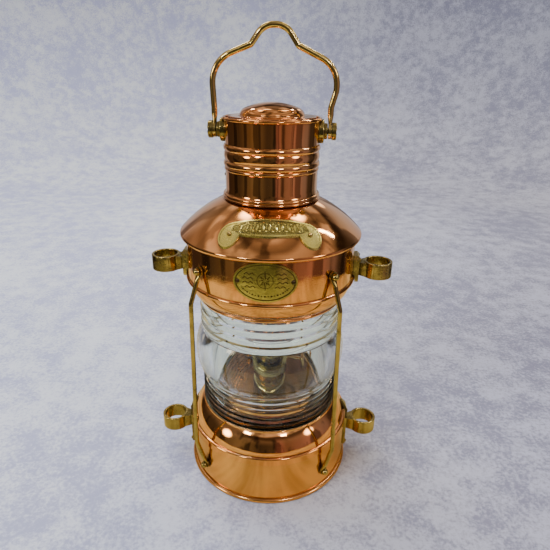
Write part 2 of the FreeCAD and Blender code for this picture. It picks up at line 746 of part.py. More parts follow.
def arch_blank(shrink):
    """Plan of the arched plate, pushed up through the dome: a band that swells to a lobe each end."""
    lobe_r = ARCH_LOBE_R - shrink
    outer_r = ARCH_OUTER_R - shrink
    reach = math.hypot(ARCH_LOBE_X, ARCH_LOBE_Y)
    top_span = ARCH_TOP_R + ARCH_LOBE_R
    top_centre_y = (reach ** 2 - top_span ** 2) / (2 * (top_span + ARCH_LOBE_Y))
    tangent = math.atan2(top_centre_y - ARCH_LOBE_Y, -ARCH_LOBE_X)
    along = (outer_r ** 2 - lobe_r ** 2 + reach ** 2) / (2 * reach)
    swing = math.acos(along / outer_r)
    corner_angle = math.atan2(ARCH_LOBE_X, -ARCH_LOBE_Y) - swing
    corner = (outer_r * math.sin(corner_angle), -outer_r * math.cos(corner_angle))
    meet = math.atan2(corner[1] - ARCH_LOBE_Y, corner[0] - ARCH_LOBE_X)

    def on_lobe(angle):
        return (ARCH_LOBE_X + lobe_r * math.cos(angle), ARCH_LOBE_Y + lobe_r * math.sin(angle))
    top = on_lobe(tangent)
    side = on_lobe((tangent + meet) / 2)
    steps = (
        (-top[0], top[1]),
        ((0, -ARCH_TOP_R - shrink), top),
        (side, corner),
        ((0, -outer_r), (-corner[0], corner[1])),
        ((-side[0], side[1]), (-top[0], top[1])))
    return prism(steps, lambda step: Vector(step[0], step[1], 230), Vector(0, 0, 60))


def arched_plate():
    """Blank arched plate on the front of the dome, with a raised border."""
    top = PLATE_GAP + PLATE
    plate = dome_skin(PLATE_GAP, top).common(arch_blank(0))
    recess = dome_skin(top - PLATE_FIELD_DEPTH, top + 1).common(arch_blank(PLATE_BORDER))
    return turn_about_axis(plate.cut(recess), ARCH_TWIST)


def arched_plate_rivets():
    """One round-headed rivet in each lobe of the arched plate, square to the dome."""
    start, through, end = dome_outline(PLATE + PLATE_GAP)
    skin = Part.Arc(on_radius(start), on_radius(through), on_radius(end)).toShape().Curve
    radius = math.hypot(ARCH_LOBE_X, ARCH_LOBE_Y)
    lean = math.asin((radius - skin.Center.x) / skin.Radius)
    surface = Vector(radius, 0, skin.Center.z + skin.Radius * math.cos(lean))
    normal = Vector(math.sin(lean), 0, math.cos(lean))
    rivet = pin_along(surface, normal, ((0, 0.06), (1.8, 0.06), crown(1.8, 0.06, 1.7)))
    right = math.degrees(math.atan2(ARCH_LOBE_Y, ARCH_LOBE_X))
    return group(around(rivet, (right + ARCH_TWIST, 180 - right + ARCH_TWIST)))


# --- Oil font --------------------------------------------------------------------------------------
def font_tray():
    """Dished tray that closes the base from below and carries the font."""
    return turned(
        (0, TRAY_Z),
        (TRAY_R - 2.0, TRAY_Z),
        ((TRAY_R - 0.5, TRAY_Z + 0.6), (TRAY_R, TRAY_Z + 2.0)),
        (TRAY_R, TRAY_Z + 9.0),
        (TRAY_R - 1.2, TRAY_Z + 9.0),
        (TRAY_R - 1.2, TRAY_Z + 2.4),
        ((TRAY_R - 1.6, TRAY_Z + 1.6), (TRAY_R - 2.6, TRAY_Z + 1.2)),
        (0, TRAY_Z + 1.2))


def tray_knob():
    """Turned brass pull under the tray."""
    return turned(
        (0, 1.2),
        (8.4, 1.2),
        ((9.6, 2.2), (9.2, 3.6)),
        ((6.4, 5.2), (5.6, TRAY_Z)),
        (0, TRAY_Z))


def tray_springs():
    """Three sprung clips on the tray's rim that grip the inside of the skirt."""
    r = TRAY_R - 1.2
    clip = prism(
        ((r - 1.0, 11.6), (r, 11.6), (r, 18.6), (r + 1.6, 20.4), (r + 1.6, 26.0), (r + 0.8, 29.0),
         (r - 0.1, 28.6), (r + 0.7, 25.8), (r + 0.7, 20.9), (r - 1.0, 18.9)),
        lambda step: Vector(step[0], -6.0, step[1]),
        Vector(0, 12.0, 0))
    inside = Part.makeCylinder(TRAY_R - 1.2, 8.0, Vector(0, 0, 11.0))
    above = tube(BASE_R - SHEET - 0.06, 60, 18.3, 32)
    clip = clip.common(fused(inside, above))
    return group(around(clip, (90, 210, 330)))


def font_tank():
    """Drawn cup of the oil font."""
    wall = 0.8
    inner = FONT_R - wall
    return turned(
        (0, FONT_BOTTOM_Z - 1.8),
        (FONT_R - 3.0, FONT_BOTTOM_Z - 1.8),
        ((FONT_R - 0.9, FONT_BOTTOM_Z - 0.9), (FONT_R, FONT_BOTTOM_Z + 1.2)),
        (FONT_R, FONT_EDGE_Z),
        (inner, FONT_EDGE_Z),
        (inner, FONT_BOTTOM_Z + 1.4),
        ((FONT_R - 1.5, FONT_BOTTOM_Z - 0.4), (FONT_R - 3.2, FONT_BOTTOM_Z - 1.0)),
        (0, FONT_BOTTOM_Z - 1.0))


def font_top():
    """Shallow crowned top of the font, seamed over the tank, with its burner and filler holes."""
    top = turned(
        (FONT_R, FONT_EDGE_Z - 2.0),
        (FONT_R + 0.35, FONT_EDGE_Z - 2.0),
        (FONT_R + 0.35, FONT_EDGE_Z + 0.2),
        ((FONT_R - 0.1, FONT_EDGE_Z + 1.3), (FONT_R - 1.6, FONT_EDGE_Z + 1.7)),
        ((35.0, 80.2), (FONT_NECK_R, FONT_NECK_Z)),
        (FONT_NECK_R, FONT_NECK_Z - 0.9),
        ((35.0, 79.2), (FONT_R - 1.6, FONT_EDGE_Z + 0.7)),
        ((FONT_R - 0.9, FONT_EDGE_Z + 0.5), (FONT_R - 0.7, FONT_EDGE_Z)),
        (FONT_R, FONT_EDGE_Z))
    hole = Part.makeCylinder(FILLER_NECK_R + 0.1, 30, Vector(FILLER_X, FILLER_Y, 65))
    return top.cut(hole)


def font_collar():
    """Threaded brass collar that the burner screws into."""
    return turned(
        (12.0, FONT_NECK_Z - 4.0),
        (FONT_NECK_R - FIT, FONT_NECK_Z - 4.0),
        (FONT_NECK_R - FIT, FONT_NECK_Z + 0.2),
        (16.4, FONT_NECK_Z + 0.2),
        ((17.0, FONT_NECK_Z + 0.9), (16.4, FONT_NECK_Z + 1.6)),
        (15.4, FONT_NECK_Z + 1.8),
        (15.4, FONT_NECK_Z + 3.4),
        (12.0, FONT_NECK_Z + 3.4))


def filler_neck():
    """Short neck for filling the font."""
    neck = tube(FILLER_NECK_R, FILLER_NECK_R - 1.2, 77.0, FILLER_NECK_TOP_Z)
    neck.translate(Vector(FILLER_X, FILLER_Y, 0))
    return neck


def filler_seal():
    """Cork disc on the filler neck's mouth."""
    mouth = Vector(FILLER_X, FILLER_Y, FILLER_NECK_TOP_Z)
    return Part.makeCylinder(FILLER_NECK_R - FIT, FILLER_SEAL, mouth)


def filler_cap():
    """Knurled cap over the neck and its seal."""
    bore = FILLER_NECK_R + 0.1
    seat_z = FILLER_NECK_TOP_Z + FILLER_SEAL + FIT
    cap = turned(
        (bore, 81.6),
        (7.3, 81.6),
        (7.3, 86.9),
        ((7.0, 87.6), (6.3, 88.0)),
        (0, 88.3),
        (0, seat_z),
        (bore, seat_z))
    groove = Part.makeCylinder(0.5, 4.2, Vector(7.55, 0, 82.2))
    grooves = []
    for i in range(18):
        grooves.append(turn_about_axis(groove, i * 20))
    cap = cap.cut(Part.makeCompound(grooves))
    cap.translate(Vector(FILLER_X, FILLER_Y, 0))
    return cap


# --- Burner ------------------------------------------------------------------------------------------
def burner_basket():
    """Bowl-shaped burner base that screws into the collar, pierced round its side for air."""
    bottom = BURNER_FOOT_Z
    bowl = turned(
        (11.0, FONT_NECK_Z - 3.0),
        (12.0 - FIT, FONT_NECK_Z - 3.0),
        (12.0 - FIT, bottom),
        (15.0, bottom),
        ((18.4, bottom + 5.5), (17.6, bottom + 12.0)),
        ((18.4, bottom + 13.0), (17.4, bottom + 13.6)),
        (16.6, bottom + 13.6),
        (16.7, bottom + 12.0),
        ((17.4, bottom + 5.8), (14.4, bottom + 1.0)),
        (11.0, bottom + 1.0))
    holes = []
    for i in range(16):
        hole = Part.makeCylinder(1.1, 8, Vector(12.5, 0, bottom + 4.0), Vector(1, 0, 0))
        holes.append(turn_about_axis(hole, i * 22.5 + 11.25))
    shaft = Part.makeCylinder(SPINDLE_R + FIT, 60, Vector(-30, SPINDLE_Y, KNOB_Z), Vector(1, 0, 0))
    return bowl.cut(Part.makeCompound(holes)).cut(shaft)


def burner_deck():
    """Flat gallery plate across the bowl's mouth, slotted for the wick tube and pierced for air."""
    z = DECK_Z
    deck = turned((0, z), (18.6, z), ((19.0, z + 0.5), (18.6, z + 1.0)), (0, z + 1.0))
    slot = Part.makeBox(WICK_WIDTH + 2.6, WICK_THICK + 2.6, 4,
                        Vector(-WICK_WIDTH / 2 - 1.3, -WICK_THICK / 2 - 1.3, z - 1))
    holes = []
    for i in range(12):
        hole = Part.makeCylinder(1.2, 4, Vector(14.6, 0, z - 1))
        holes.append(turn_about_axis(hole, i * 30 + 15))
    return deck.cut(slot).cut(Part.makeCompound(holes))


def burner_cone():
    """Domed flame spreader with its slot."""
    z = DECK_Z + 1.05
    top = BURNER_TOP_Z
    cone = turned(
        (12.4, z),
        (14.4, z),
        (14.4, z + 0.9),
        (13.4, z + 0.9),
        ((12.6, z + 14.0), (0, top)),
        (0, top - 0.8),
        ((11.8, z + 13.4), (12.4, z)))
    slot = Part.makeBox(20.0, 6.4, 20, Vector(-10.0, -3.2, top - 9.0))
    return cone.cut(slot)


def wick_tube():
    """Flat brass tube that holds the wick, open on one side for the spur wheels."""
    wide = WICK_WIDTH + 2.4
    thick = WICK_THICK + 2.4
    bottom = FONT_NECK_Z - 3.0
    height = BURNER_TOP_Z - 6.0 - bottom
    outer = Part.makeBox(wide, thick, height, Vector(-wide / 2, -thick / 2, bottom))
    inner_wide = WICK_WIDTH + 0.8
    inner_thick = WICK_THICK + 0.8
    inner = Part.makeBox(inner_wide, inner_thick, height + 2,
                         Vector(-inner_wide / 2, -inner_thick / 2, bottom - 1))
    window = Part.makeBox(13.4, 3.0, 13.0, Vector(-6.7, 0.9, KNOB_Z - 6.5))
    return outer.cut(inner).cut(window)


def knob_spindle():
    """Spindle across the burner that carries the spur wheels and the wick knob."""
    return Part.makeCylinder(SPINDLE_R, 58.0, Vector(-20.0, SPINDLE_Y, KNOB_Z), Vector(1, 0, 0))


def spur_wheels():
    """Two toothed wheels that lift the wick."""
    wheels = []
    for x in (-4.4, 3.0):
        wheel = Part.makeCylinder(SPUR_R - 0.9, 1.4, Vector(x, SPINDLE_Y, KNOB_Z), Vector(1, 0, 0))
        teeth = []
        for i in range(12):
            tooth = prism(
                ((SPUR_R - 1.4, -0.7), (SPUR_R, 0), (SPUR_R - 1.4, 0.7)),
                lambda step: Vector(x, SPINDLE_Y + step[0], KNOB_Z + step[1]),
                Vector(1.4, 0, 0))
            tooth.rotate(Vector(x, SPINDLE_Y, KNOB_Z), Vector(1, 0, 0), i * 30 + 15)
            teeth.append(tooth)
        wheel = fused(wheel, *teeth)
        bore = Part.makeCylinder(SPINDLE_R, 4, Vector(x - 1, SPINDLE_Y, KNOB_Z), Vector(1, 0, 0))
        wheels.append(wheel.cut(bore))
    return group(wheels)


def knob_wheel():
    """Milled hand wheel on the spindle's end."""
    centre = Vector(35.0, SPINDLE_Y, KNOB_Z)
    wheel = pin_along(centre, Vector(1, 0, 0), (
        (SPINDLE_R, 0),
        (6.6, 0),
        ((7.2, 0.3), (7.4, 0.9)),
        (7.4, 2.1),
        ((7.2, 2.7), (6.6, 3.0)),
        (SPINDLE_R, 3.0)))
    cuts = []
    for i in range(24):
        cut = Part.makeCylinder(0.45, 4, centre + Vector(-0.5, 7.6, 0), Vector(1, 0, 0))
        cut.rotate(centre, Vector(1, 0, 0), i * 15)
        cuts.append(cut)
    return wheel.cut(Part.makeCompound(cuts))


def wick():
    """Flat cotton wick in its tube, as a plain strip down into the oil."""
    return Part.makeBox(WICK_WIDTH, WICK_THICK, BURNER_TOP_Z - 3.0 - WICK_FOOT_Z,
                        Vector(-WICK_WIDTH / 2, -WICK_THICK / 2, WICK_FOOT_Z))


# --- Assembly ----------------------------------------------------------------------------------------
def drilled(shape, drills):
    return shape.cut(Part.makeCompound(drills))


def side_name(azimuth):
    return {0: "right", 180: "left"}[azimuth]


def rod_name(azimuth):
    return {45: "back_right", 135: "back_left", 225: "front_left", 315: "front_right"}[azimuth]


def build_nodes():
    """All nodes of the lantern, by name."""
    nodes = {
        "base_band": drilled(base_band(), stud_holes(BASE_R, LOWER_STUD_Z)),
        "base_shoulder": base_shoulder(),
        "lower_gasket": lower_gasket(),
        "lens_glass": lens_glass(),
        "upper_gasket": upper_gasket(),
        "glass_top_ring": glass_top_ring(),
        "upper_band": drilled(upper_band(), stud_holes(BAND_R, UPPER_STUD_Z)),
        "dome_shell": dome_shell(),
        "smoke_funnel": smoke_funnel(),
        "chimney_lower_tube": chimney_lower_tube(),
        "chimney_upper_collar": chimney_upper_collar(),
        "lid_dome": lid_dome(),
        "lid_stays": lid_stays(),
        "chimney_screw": chimney_screw(),
        "bail": bail(),
        "guide_eye_rivets": guide_rivets(),
        "oval_plate": oval_plate(),
        "oval_plate_screws": oval_plate_screws(),
        "arched_plate": arched_plate(),
        "arched_plate_rivets": arched_plate_rivets(),
        "font_tray": font_tray(),
        "tray_knob": tray_knob(),
        "tray_springs": tray_springs(),
        "font_tank": font_tank(),
        "font_top": font_top(),
        "font_collar": font_collar(),
        "filler_neck": filler_neck(),
        "filler_seal": filler_seal(),
        "filler_cap": filler_cap(),
        "burner_basket": burner_basket(),
        "burner_deck": burner_deck(),
        "burner_cone": burner_cone(),
        "wick_tube": wick_tube(),
        "knob_spindle": knob_spindle(),
        "spur_wheels": spur_wheels(),
        "knob_wheel": knob_wheel(),
        "wick": wick()}
    nodes["guard_studs_upper"] = group(around(guard_stud(BAND_R, UPPER_STUD_Z), ROD_AZIMUTHS))
    nodes["guard_studs_lower"] = group(around(guard_stud(BASE_R, LOWER_STUD_Z), ROD_AZIMUTHS))
    for azimuth in ROD_AZIMUTHS:
        nodes["guard_rod_" + rod_name(azimuth)] = turn_about_axis(guard_rod(), azimuth)
    for side in (0, 180):
        name = side_name(side)
        nodes["pivot_boss_" + name] = pivot_boss(side)
        nodes["pivot_screw_" + name] = pivot_screw(side)
        nodes["guide_eye_upper_" + name] = turn_about_axis(guide_eye_upper(), side)
        nodes["guide_eye_lower_" + name] = turn_about_axis(guide_eye_lower(), side + LOWER_GUIDE_TWIST)
    return nodes


os.makedirs("parts", exist_ok=True)
for node_name, node_shape in build_nodes().items():
    node_shape.exportStep("parts/" + node_name + ".step")
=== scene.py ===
import math

import bmesh
import bpy
import numpy as np
from mathutils import Matrix, Vector


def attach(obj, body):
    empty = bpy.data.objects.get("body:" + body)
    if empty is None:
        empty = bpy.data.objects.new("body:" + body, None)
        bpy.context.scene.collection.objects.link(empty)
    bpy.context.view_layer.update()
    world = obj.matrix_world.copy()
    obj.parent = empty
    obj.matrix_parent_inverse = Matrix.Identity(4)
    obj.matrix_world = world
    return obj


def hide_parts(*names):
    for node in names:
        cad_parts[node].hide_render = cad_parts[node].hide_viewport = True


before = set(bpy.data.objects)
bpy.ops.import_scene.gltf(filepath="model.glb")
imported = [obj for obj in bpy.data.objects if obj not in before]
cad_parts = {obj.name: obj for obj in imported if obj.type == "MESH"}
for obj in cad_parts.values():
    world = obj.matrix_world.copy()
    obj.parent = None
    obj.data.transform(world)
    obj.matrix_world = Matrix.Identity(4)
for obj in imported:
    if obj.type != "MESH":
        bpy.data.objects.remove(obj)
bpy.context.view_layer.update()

# Looks of the ship's anchor lantern. Outlines are in millimetres, as in the CAD source; +Z is up
# and the lamp's front faces -Y.
MM = 0.001
SEGMENTS = 224
ARC_STEP = 0.9
ARC_TURN = math.radians(14)
STRAIGHT_STEP = 3.0
INSIDE_CAD, SHELL_UNEVEN, LENS_UNEVEN = 0.01, 0.05, 0.02
BODY = "lantern_body"
rng = np.random.default_rng(7)


# --- Camera, stage and light ------------------------------------------------------------------
CAMERA_PLACE = (0.0042, -0.4080, 0.3732)
CAMERA_HEADING, CAMERA_DOWN, CAMERA_ROLL = 3.5, 22.99, 0.84
CAMERA_LENS, CAMERA_SENSOR = 31.1, 36.0


def make_camera():
    """Camera just above and in front of the lamp, looking down; angles in degrees."""
    data = bpy.data.cameras.new("camera")
    data.sensor_width = CAMERA_SENSOR
    data.lens = CAMERA_LENS
    camera = bpy.data.objects.new("camera", data)
    bpy.context.scene.collection.objects.link(camera)
    heading = Matrix.Rotation(math.radians(CAMERA_HEADING), 4, "Z")
    pitch = Matrix.Rotation(math.radians(90.0 - CAMERA_DOWN), 4, "X")
    roll = Matrix.Rotation(math.radians(CAMERA_ROLL), 4, "Z")
    place = Matrix.Translation(heading @ Vector(CAMERA_PLACE))
    camera.matrix_world = place @ heading @ pitch @ roll
    bpy.context.scene.camera = camera


def new_object(name, mesh):
    obj = bpy.data.objects.new(name, mesh)
    bpy.context.scene.collection.objects.link(obj)
    return obj


def mesh_from(name, verts, faces):
    mesh = bpy.data.meshes.new(name)
    mesh.from_pydata(verts, [], faces)
    mesh.validate()
    return mesh


# --- Material helpers ---------------------------------------------------------------------------
class Nodes:
    """Short way to write a node tree."""

    def __init__(self, name):
        self.material = bpy.data.materials.new(name)
        self.material.use_nodes = True
        self.tree = self.material.node_tree
        self.shader = self.tree.nodes["Principled BSDF"]
        self.position = self.add("ShaderNodeTexCoord").outputs["Object"]

    def add(self, kind, inputs=None, **settings):
        node = self.tree.nodes.new(kind)
        for key, value in settings.items():
            setattr(node, key, value)
        for key, value in (inputs or {}).items():
            self.set(node.inputs[key], value)
        return node

    def set(self, socket, value):
        if isinstance(value, bpy.types.NodeSocket):
            self.tree.links.new(value, socket)
        else:
            socket.default_value = value

    def shade(self, **values):
        for key, value in values.items():
            self.set(self.shader.inputs[key.replace("_", " ")], value)

    def math(self, operation, a, b=0.0, clamp=False):
        node = self.add("ShaderNodeMath", operation=operation, use_clamp=clamp)
        self.set(node.inputs[0], a)
        self.set(node.inputs[1], b)
        return node.outputs[0]

    def noise(self, scale, detail=2.0, rough=0.5, vector=None):
        node = self.add("ShaderNodeTexNoise", {"Scale": scale, "Detail": detail, "Roughness": rough})
        self.set(node.inputs["Vector"], vector or self.position)
        return node.outputs["Fac"]

    def ramp(self, value, low, high, out_low=0.0, out_high=1.0):
        node = self.add("ShaderNodeMapRange", {
            "Value": value, "From Min": low, "From Max": high,
            "To Min": out_low, "To Max": out_high})
        node.interpolation_type = "SMOOTHSTEP"
        return node.outputs["Result"]

    def mix(self, factor, a, b):
        node = self.add("ShaderNodeMix", data_type="RGBA")
        self.set(node.inputs[0], factor)
        self.set(node.inputs[6], a)
        self.set(node.inputs[7], b)
        return node.outputs[2]

    def bump(self, height, distance, strength=1.0, normal=None):
        node = self.add("ShaderNodeBump", {
            "Height": height, "Distance": distance, "Strength": strength})
        if normal is not None:
            self.set(node.inputs["Normal"], normal)
        return node.outputs["Normal"]

    def spun(self, along, across):
        """Coordinates that vary fast along a turned profile and slowly round it."""
        parts = self.add("ShaderNodeSeparateXYZ", {"Vector": self.position})
        flat = self.add("ShaderNodeVectorMath", {0: self.position, 1: (1, 1, 0)}, operation="MULTIPLY")
        radius = self.add("ShaderNodeVectorMath", {0: flat.outputs[0]}, operation="LENGTH")
        profile = self.math("SUBTRACT", parts.outputs[2], self.math("MULTIPLY", radius.outputs[1], 0.8))
        vector = self.add("ShaderNodeCombineXYZ", {
            "X": self.math("MULTIPLY", parts.outputs[0], across),
            "Y": self.math("MULTIPLY", parts.outputs[1], across),
            "Z": self.math("MULTIPLY", profile, along)})
        return vector.outputs[0]

    def stretched(self, scale_xyz):
        node = self.add("ShaderNodeVectorMath", {0: self.position, 1: scale_xyz}, operation="MULTIPLY")
        return node.outputs[0]

    def crevice(self, distance):
        """1 in corners and seams, 0 on open surface: an ambient-occlusion mask, used to paint shade there."""
        node = self.add("ShaderNodeAmbientOcclusion", {"Distance": distance}, samples=6)
        return self.ramp(node.outputs["AO"], 0.95, 0.45)


class WorldNodes(Nodes):
    """The same for the world, where position is the direction looked in."""

    def __init__(self, name):
        world = bpy.data.worlds.new(name)
        bpy.context.scene.world = world
        world.use_nodes = True
        self.tree = world.node_tree
        self.shader = self.tree.nodes["Background"]
        self.position = self.add("ShaderNodeTexCoord").outputs["Generated"]

    def stops(self, value, stops, interpolation):
        """Colour ramp through (position, colour) stops."""
        node = self.add("ShaderNodeValToRGB", {"Fac": value})
        ramp = node.color_ramp
        ramp.interpolation = interpolation
        first, last = ramp.elements
        first.position, first.color = stops[0][0], (*stops[0][1], 1)
        last.position, last.color = stops[-1][0], (*stops[-1][1], 1)
        for position, colour in stops[1:-1]:
            ramp.elements.new(position).color = (*colour, 1)
        return node.outputs[0]


def rgb(r, g, b):
    return (r, g, b, 1.0)


def copper_material(name, warm, deep, shine, satin):
    """Spun and polished copper: fine turning lines, rubbed patches, painted shade in the seams, which are
    also rougher.
    """
    n = Nodes(name)
    patches = n.ramp(n.noise(14.0, 3.0), 0.36, 0.66)
    film = n.ramp(n.noise(46.0, 4.0, 0.6), 0.5, 0.78, 0.0, 0.35)
    seam_shade_and_film = n.crevice(0.0035)
    colour = n.mix(patches, warm, deep)
    colour = n.mix(film, colour, rgb(0.60, 0.27, 0.12))
    # Painted shade: the occlusion mask darkens the colour in seams and corners.
    colour = n.mix(n.math("MULTIPLY", seam_shade_and_film, 0.75), colour, rgb(0.115, 0.050, 0.028))
    turning = n.noise(1.0, 3.0, 0.65, n.spun(2600.0, 26.0))
    rubbed = n.noise(1.0, 2.0, 0.6, n.stretched((520.0, 520.0, 60.0)))
    smudge = n.ramp(n.noise(34.0, 3.0, 0.55), 0.45, 0.72)
    rough = n.ramp(turning, 0.3, 0.75, shine, shine + 0.03)
    rough = n.math("ADD", rough, n.math("MULTIPLY", smudge, satin))
    rough = n.math("ADD", rough, n.ramp(rubbed, 0.62, 0.78, 0.0, 0.07))
    rough = n.math("ADD", rough, n.math("MULTIPLY", seam_shade_and_film, 0.3), clamp=True)
    normal = n.bump(n.noise(28.0, 2.0), 0.00040)
    normal = n.bump(turning, 0.000012, 0.8, normal)
    n.shade(Base_Color=colour, Metallic=1.0, Roughness=rough, Normal=normal)
    return n.material


def brass_material(name, bright, dull, shine, spread, grain):
    """Cast and hand-finished brass: rubbed bright, with a dull rough film in corners and scratches, and
    painted shade darkening the corners.
    """
    n = Nodes(name)
    patches = n.ramp(n.noise(60.0, 4.0, 0.6), 0.38, 0.68)
    seam_shade_and_film = n.crevice(0.003)
    colour = n.mix(n.math("MULTIPLY", patches, 0.75), bright, dull)
    # Painted shade: the occlusion mask darkens the colour in corners and seams.
    colour = n.mix(n.math("MULTIPLY", seam_shade_and_film, 0.85), colour, rgb(0.060, 0.042, 0.015))
    scratch = n.noise(1.0, 3.0, 0.7, n.stretched((2400.0, 420.0, 260.0)))
    scratch_2 = n.noise(1.0, 3.0, 0.7, n.stretched((240.0, 500.0, 2500.0)))
    lines = n.math("MAXIMUM", n.ramp(scratch, 0.6, 0.8), n.ramp(scratch_2, 0.6, 0.8))
    pits = n.noise(900.0, 2.0, 0.5)
    rough = n.ramp(patches, 0.0, 1.0, shine, shine + spread)
    rough = n.math("ADD", rough, n.math("MULTIPLY", lines, 0.12))
    rough = n.math("ADD", rough, n.math("MULTIPLY", seam_shade_and_film, 0.3), clamp=True)
    normal = n.bump(n.noise(110.0, 2.0), 0.00022, 0.8)
    normal = n.bump(pits, grain, 0.8, normal)
    n.shade(Base_Color=colour, Metallic=1.0, Roughness=rough, Normal=normal)
    return n.material


def glass_material():
    """Thick moulded glass, faintly green, with drawn flow lines and a little dust."""
    n = Nodes("glass_moulded")
    flow = n.noise(1.0, 2.0, 0.5, n.spun(90.0, 22.0))
    dust = n.ramp(n.noise(240.0, 4.0, 0.7), 0.58, 0.85)
    normal = n.bump(flow, 0.00010, 0.7)
    facing = n.add("ShaderNodeLayerWeight", {"Blend": 0.5}).outputs["Facing"]
    height = n.add("ShaderNodeSeparateXYZ", {"Vector": n.position}).outputs[2]
    # Light straight through the belt's turned-away sides, where refracted paths are cut short.
    belt = n.math("MULTIPLY", n.ramp(height, 0.106, 0.114), n.ramp(height, 0.158, 0.152))
    clear = n.math("MULTIPLY", belt, n.ramp(facing, 0.28, 0.72, 0.0, 0.5))
    n.shade(Base_Color=n.mix(dust, rgb(0.935, 0.990, 0.870), rgb(0.89, 0.92, 0.82)),
            Roughness=n.ramp(dust, 0.0, 1.0, 0.0, 0.05), Normal=normal,
            Alpha=n.math("SUBTRACT", 1.0, clear), Transmission_Weight=1.0, IOR=1.5,
            Specular_IOR_Level=0.2)
    return n.material


def gasket_material():
    """Pressed fibre ring, dull olive and slightly mottled."""
    n = Nodes("gasket_fibre")
    fibre = n.noise(1.0, 4.0, 0.7, n.stretched((900.0, 900.0, 260.0)))
    n.shade(Base_Color=n.mix(fibre, rgb(0.13, 0.12, 0.075), rgb(0.24, 0.22, 0.13)),
            Roughness=n.ramp(fibre, 0.2, 0.8, 0.72, 0.9), Normal=n.bump(fibre, 0.0002))
    return n.material


def cork_material():
    """Cork agglomerate: packed grains of two browns with dark seams."""
    n = Nodes("cork_grain")
    cells = n.add("ShaderNodeTexVoronoi", {"Vector": n.position, "Scale": 900.0})
    edges = n.add("ShaderNodeTexVoronoi", {"Vector": n.position, "Scale": 900.0},
                  feature="DISTANCE_TO_EDGE")
    seam = n.ramp(edges.outputs["Distance"], 0.0, 0.12)
    grain = n.mix(n.ramp(cells.outputs["Color"], 0.2, 0.8), rgb(0.36, 0.20, 0.09), rgb(0.56, 0.36, 0.19))
    n.shade(Base_Color=n.mix(seam, rgb(0.10, 0.05, 0.025), grain),
            Roughness=n.ramp(seam, 0.0, 1.0, 0.95, 0.8), Normal=n.bump(seam, 0.0001))
    return n.material


def cotton_material(char_low, char_high):
    """Woven lamp cotton: cream yarns, oil-stained and charred towards the burning edge."""
    n = Nodes("cotton_wick")
    height = n.add("ShaderNodeSeparateXYZ", {"Vector": n.position}).outputs[2]
    uneven = n.math("ADD", height, n.math("MULTIPLY", n.noise(500.0, 3.0), 0.0012))
    char = n.ramp(uneven, char_low, char_high)
    fibre = n.noise(1.0, 4.0, 0.75, n.stretched((5200.0, 5200.0, 900.0)))
    cream = n.mix(fibre, rgb(0.55, 0.45, 0.29), rgb(0.80, 0.72, 0.55))
    stain = n.mix(n.ramp(n.noise(160.0, 3.0), 0.35, 0.7), cream, rgb(0.42, 0.31, 0.16))
    n.shade(Base_Color=n.mix(char, stain, rgb(0.014, 0.011, 0.009)),
            Roughness=n.ramp(char, 0.0, 1.0, 0.82, 0.96), Normal=n.bump(fibre, 0.00012))
    return n.material


def card_material():
    """Warm bounce card that the polished metal mirrors from below."""
    n = Nodes("stage_card")
    patch = n.noise(9.0, 3.0, 0.55)
    streak = n.noise(1.0, 3.0, 0.6, n.stretched((46.0, 7.0, 1.0)))
    tone = n.math("ADD", n.math("MULTIPLY", patch, 0.5), n.math("MULTIPLY", streak, 0.5))
    n.shade(Base_Color=n.mix(n.ramp(tone, 0.36, 0.62), rgb(0.36, 0.29, 0.12), rgb(0.72, 0.60, 0.27)),
            Roughness=0.9, Specular_IOR_Level=0.1)
    return n.material


def stage_material():
    """Pale blue-grey mineral plaster, mottled fine and coarse, with painted light and shade: lighter to the
    left and far off, darker to the right and near.
    """
    n = Nodes("stage_plaster")
    cloud = n.noise(4.0, 4.0, 0.6)
    mottle = n.noise(30.0, 5.0, 0.65)
    speck = n.noise(230.0, 4.0, 0.75)
    tone = n.math("ADD", n.math("MULTIPLY", cloud, 0.25), n.math("MULTIPLY", mottle, 0.35))
    tone = n.math("ADD", tone, n.math("MULTIPLY", speck, 0.40))
    place = n.add("ShaderNodeSeparateXYZ", {"Vector": n.position})
    # Painted light and shade: the colour darkens towards the right and towards the front.
    right = n.ramp(place.outputs[0], -0.35, 0.50, 0.0, 0.75)
    near = n.ramp(place.outputs[1], 1.0, -0.35, 0.0, 0.35)
    shade = n.math("ADD", right, near)
    dark = n.mix(shade, rgb(0.55, 0.58, 0.84), rgb(0.25, 0.25, 0.35))
    pale = n.mix(shade, rgb(0.88, 0.92, 1.0), rgb(0.49, 0.50, 0.66))
    n.shade(Base_Color=n.mix(n.ramp(tone, 0.43, 0.57), dark, pale),
            Roughness=0.9, Specular_IOR_Level=0.1)
    return n.material


# --- Turned pieces ------------------------------------------------------------------------------
def is_arc(step):
    return isinstance(step[0], tuple)


def circle_through(start, through, end):
    """Centre and radius of the circle through three (radius, height) points."""
    (ax, ay), (bx, by), (cx, cy) = start, through, end
    d = 2.0 * (ax * (by - cy) + bx * (cy - ay) + cx * (ay - by))
    sa, sb, sc = ax * ax + ay * ay, bx * bx + by * by, cx * cx + cy * cy
    ux = (sa * (by - cy) + sb * (cy - ay) + sc * (ay - by)) / d
    uy = (sa * (cx - bx) + sb * (ax - cx) + sc * (bx - ax)) / d
    return ux, uy, math.hypot(ax - ux, ay - uy)


def arc_points(start, through, end):
    """Points after start on the arc through three (radius, height) points."""
    ux, uy, radius = circle_through(start, through, end)
    first = math.atan2(start[1] - uy, start[0] - ux)
    middle = math.atan2(through[1] - uy, through[0] - ux) - first
    last = math.atan2(end[1] - uy, end[0] - ux) - first
    turn = 2.0 * math.pi
    middle, last = middle % turn, last % turn
    if middle > last:
        last -= turn
    count = max(3, math.ceil(abs(last) * radius / ARC_STEP), math.ceil(abs(last) / ARC_TURN))
    steps = []
    for i in range(1, count + 1):
        angle = first + last * i / count
        steps.append((ux + radius * math.cos(angle), uy + radius * math.sin(angle)))
    return steps


